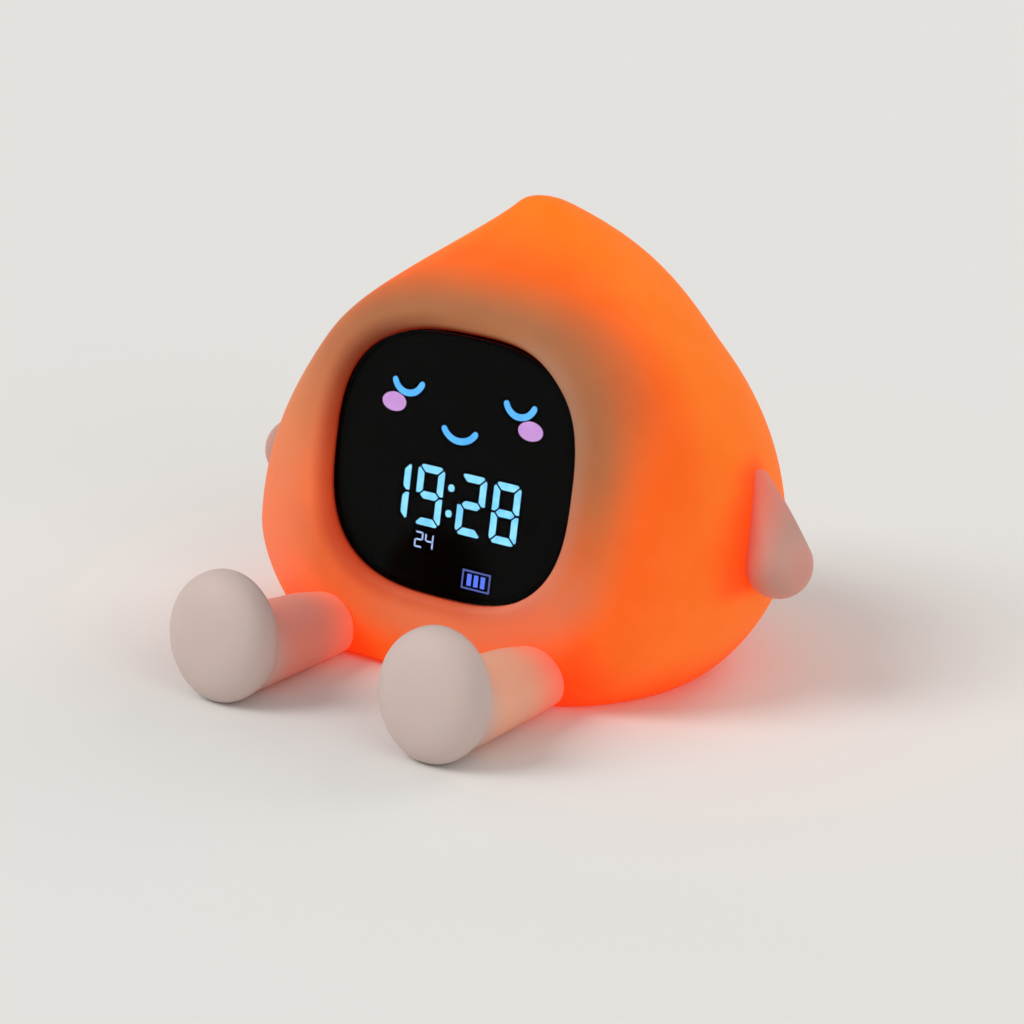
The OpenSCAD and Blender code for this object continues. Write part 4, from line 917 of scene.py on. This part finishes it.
unlitBlack = ((0.0003, 0.0003, 0.0004), (0.0006, 0.0006, 0.0007), 0.8)
finishes = {
    "silicone_body": litSilicone(),
    "silicone_limb": paleSilicone(),
    "black_lens": smokedLens(),
    "black_plastic": mottled("displayMask", *unlitBlack, bump=0, Specular_IOR_Level=0.0),
    "cyan_segments": litSegment("cyanLight", (0.15, 0.50, 0.86), (0.26, 0.66, 0.90), 2.4),
    "dark_diffuser": mottled("unlitDiffuser", *unlitBlack, bump=0, Specular_IOR_Level=0.0),
    "blue_segments": litSegment("blueLight", (0.075, 0.36, 0.90), (0.11, 0.44, 1.0), 2.3),
    "pink_segments": litSegment("pinkLight", (0.55, 0.28, 0.61), (0.61, 0.32, 0.66), 1.9),
    "violet_segments": litMarks(),
    "led": mottled("ledResin", (0.80, 0.70, 0.42), (0.90, 0.82, 0.55), 0.25),
    "green_board": mottled("solderMask", (0.010, 0.10, 0.035), (0.016, 0.14, 0.05), 0.3),
    "white_board": mottled("whiteBoard", (0.78, 0.78, 0.76), (0.86, 0.86, 0.84), 0.35),
    "white_plastic": mottled("creamPlastic", (0.70, 0.66, 0.60), (0.78, 0.74, 0.68), 0.5, 500.0),
    "foot_rubber": mottled("footRubber", (0.10, 0.10, 0.11), (0.15, 0.15, 0.16), 0.85),
    "cell_sleeve": mottled("cellSleeve", (0.03, 0.14, 0.42), (0.04, 0.18, 0.50), 0.35),
    "tape": mottled("yellowTape", (0.66, 0.48, 0.10), (0.75, 0.56, 0.14), 0.4),
    "cone_paper": mottled("conePaper", (0.015, 0.015, 0.016), (0.03, 0.03, 0.032), 0.9),
    "chip_black": mottled("mouldedBlack", (0.012, 0.012, 0.013), (0.022, 0.022, 0.024), 0.55),
    "key_white": mottled("keyWhite", (0.80, 0.79, 0.76), (0.86, 0.85, 0.82), 0.28),
    "clear_pipe": mottled("lightPipe", (0.55, 0.75, 0.55), (0.62, 0.82, 0.62), 0.15),
    "film": mottled("ribbonFilm", (0.60, 0.52, 0.36), (0.68, 0.60, 0.44), 0.35),
    "lead": mottled("leadCover", (0.012, 0.012, 0.013), (0.02, 0.02, 0.022), 0.5),
    "screw_steel": mottled("screwSteel", (0.42, 0.42, 0.44), (0.55, 0.55, 0.57), 0.3, Metallic=1.0),
    "basket_metal": mottled("basketPaint", (0.05, 0.055, 0.06), (0.08, 0.085, 0.09), 0.4),
    "magnet": mottled("magnetPlate", (0.50, 0.51, 0.54), (0.60, 0.61, 0.64), 0.25, Metallic=1.0),
    "connector_metal": mottled("socketSteel", (0.55, 0.56, 0.58), (0.66, 0.67, 0.69), 0.28, Metallic=1.0),
    "nickel": mottled("nickelStrip", (0.58, 0.58, 0.56), (0.70, 0.70, 0.68), 0.3, Metallic=1.0),
}

slotOf = {entry["node"]: entry["material_slot"] for entry in frame["record"]["subparts"]}
for name, node in nodes.items():
    node.data.materials.clear()
    node.data.materials.append(finishes[slotOf[name]])
siliconeBody.data.materials.clear()
siliconeBody.data.materials.append(finishes["silicone_body"])
for limb in limbs:
    limb.data.materials.append(finishes["silicone_limb"])
for mark in marks:
    mark.data.materials.append(finishes["chip_black"])
print("materials set,", len(finishes))

# plain pale studio
stageValues = {
    "floorColour": (0.80, 0.79, 0.77), "floorHalf": 14.0, "floorRoughness": 0.9, "floorSpecular": 0.1,
    "worldStrength": 0.55, "worldColour": (0.86, 0.85, 0.83),
}
# wide soft lamps far away light the floor evenly: where from, how wide in degrees, how strong
lamps = {
    "keyLamp": ((-0.55, -0.75, 0.85), 32, 1.45),
    "fillLamp": ((0.95, -0.55, 0.55), 38, 0.52),
    "backLamp": ((0.2, 0.9, 0.8), 30, 0.5),
}


def viewRays(tree):
    # 1 for rays from the camera, and for what gloss and glass show
    path = addNode(tree, "ShaderNodeLightPath")
    seen = mathOf(tree, "MAXIMUM", path.outputs["Is Camera Ray"], path.outputs["Is Glossy Ray"])
    return mathOf(tree, "MAXIMUM", seen, path.outputs["Is Transmission Ray"])


half = stageValues["floorHalf"]
floor = meshPiece("floor", [(-half, -half, 0), (half, -half, 0), (half, half, 0), (-half, half, 0)],
                  [(0, 1, 2, 3)], False)
floorMaterial, _, floorShader = newMaterial("paleFloor")
setSockets(floorShader, Base_Color=(*stageValues["floorColour"], 1), Roughness=stageValues["floorRoughness"],
           Specular_IOR_Level=stageValues["floorSpecular"])
floor.data.materials.append(floorMaterial)

world = bpy.data.worlds.new("studio")
bpy.context.scene.world = world
world.use_nodes = True
worldTree = world.node_tree
soft = worldTree.nodes["Background"]
soft.inputs["Color"].default_value = (*stageValues["worldColour"], 1)
soft.inputs["Strength"].default_value = stageValues["worldStrength"]
backdrop = addNode(worldTree, "ShaderNodeBackground", Strength=1.0)
# the backdrop takes the colour that the lit floor has
onFloor = sum(strength * Vector(place).normalized().z for place, wide, strength in lamps.values()) / math.pi
backdropColour = [colour * (stageValues["worldStrength"] * sky + onFloor)
                  for colour, sky in zip(stageValues["floorColour"], stageValues["worldColour"])]
backdrop.inputs["Color"].default_value = (*backdropColour, 1)
choose = addNode(worldTree, "ShaderNodeMixShader")
worldTree.links.new(viewRays(worldTree), choose.inputs[0])
worldTree.links.new(soft.outputs[0], choose.inputs[1])
worldTree.links.new(backdrop.outputs[0], choose.inputs[2])
worldTree.links.new(choose.outputs[0], worldTree.nodes["World Output"].inputs["Surface"])

for name, (place, wide, strength) in lamps.items():
    data = bpy.data.lights.new(name, "SUN")
    data.angle = math.radians(wide)
    data.energy = strength
    lamp = bpy.data.objects.new(name, data)
    bpy.context.scene.collection.objects.link(lamp)
    lamp.location = place
    lamp.rotation_euler = (-Vector(place)).to_track_quat("-Z", "Y").to_euler()

# degrees and millimetres; the focal length counts in dots of a picture this many dots wide
view = {
    "azimuth": 31.5, "elevation": 17.1, "roll": 3.32, "focal": 3107.0, "pictureWidth": 1024,
    "distance": 701.4, "aimSide": -2.46, "aimHeight": 30.37, "sensor": 36, "clipStart": 0.01,
}


def makeCamera():
    a, e, r = (math.radians(view[k]) for k in ("azimuth", "elevation", "roll"))
    back = Vector((math.sin(a) * math.cos(e), -math.cos(a) * math.cos(e), math.sin(e)))
    right = Vector((math.cos(a), math.sin(a), 0))
    up = back.cross(right)
    turnedRight = right * math.cos(r) + up * math.sin(r)
    turnedUp = up * math.cos(r) - right * math.sin(r)
    aim = Vector((0, form["axisY"], view["aimHeight"])) + right * view["aimSide"]
    place = (aim + back * view["distance"]) * mm
    data = bpy.data.cameras.new("camera")
    data.sensor_width = view["sensor"]
    data.lens = view["focal"] / view["pictureWidth"] * view["sensor"]
    data.clip_start = view["clipStart"]
    camera = bpy.data.objects.new("camera", data)
    bpy.context.scene.collection.objects.link(camera)
    turn = Matrix((turnedRight, turnedUp, back)).transposed().to_4x4()
    camera.matrix_world = Matrix.Translation(place) @ turn
    bpy.context.scene.camera = camera


makeCamera()
bpy.context.scene.view_settings.view_transform = "Standard"
print("stage, lights and camera set")
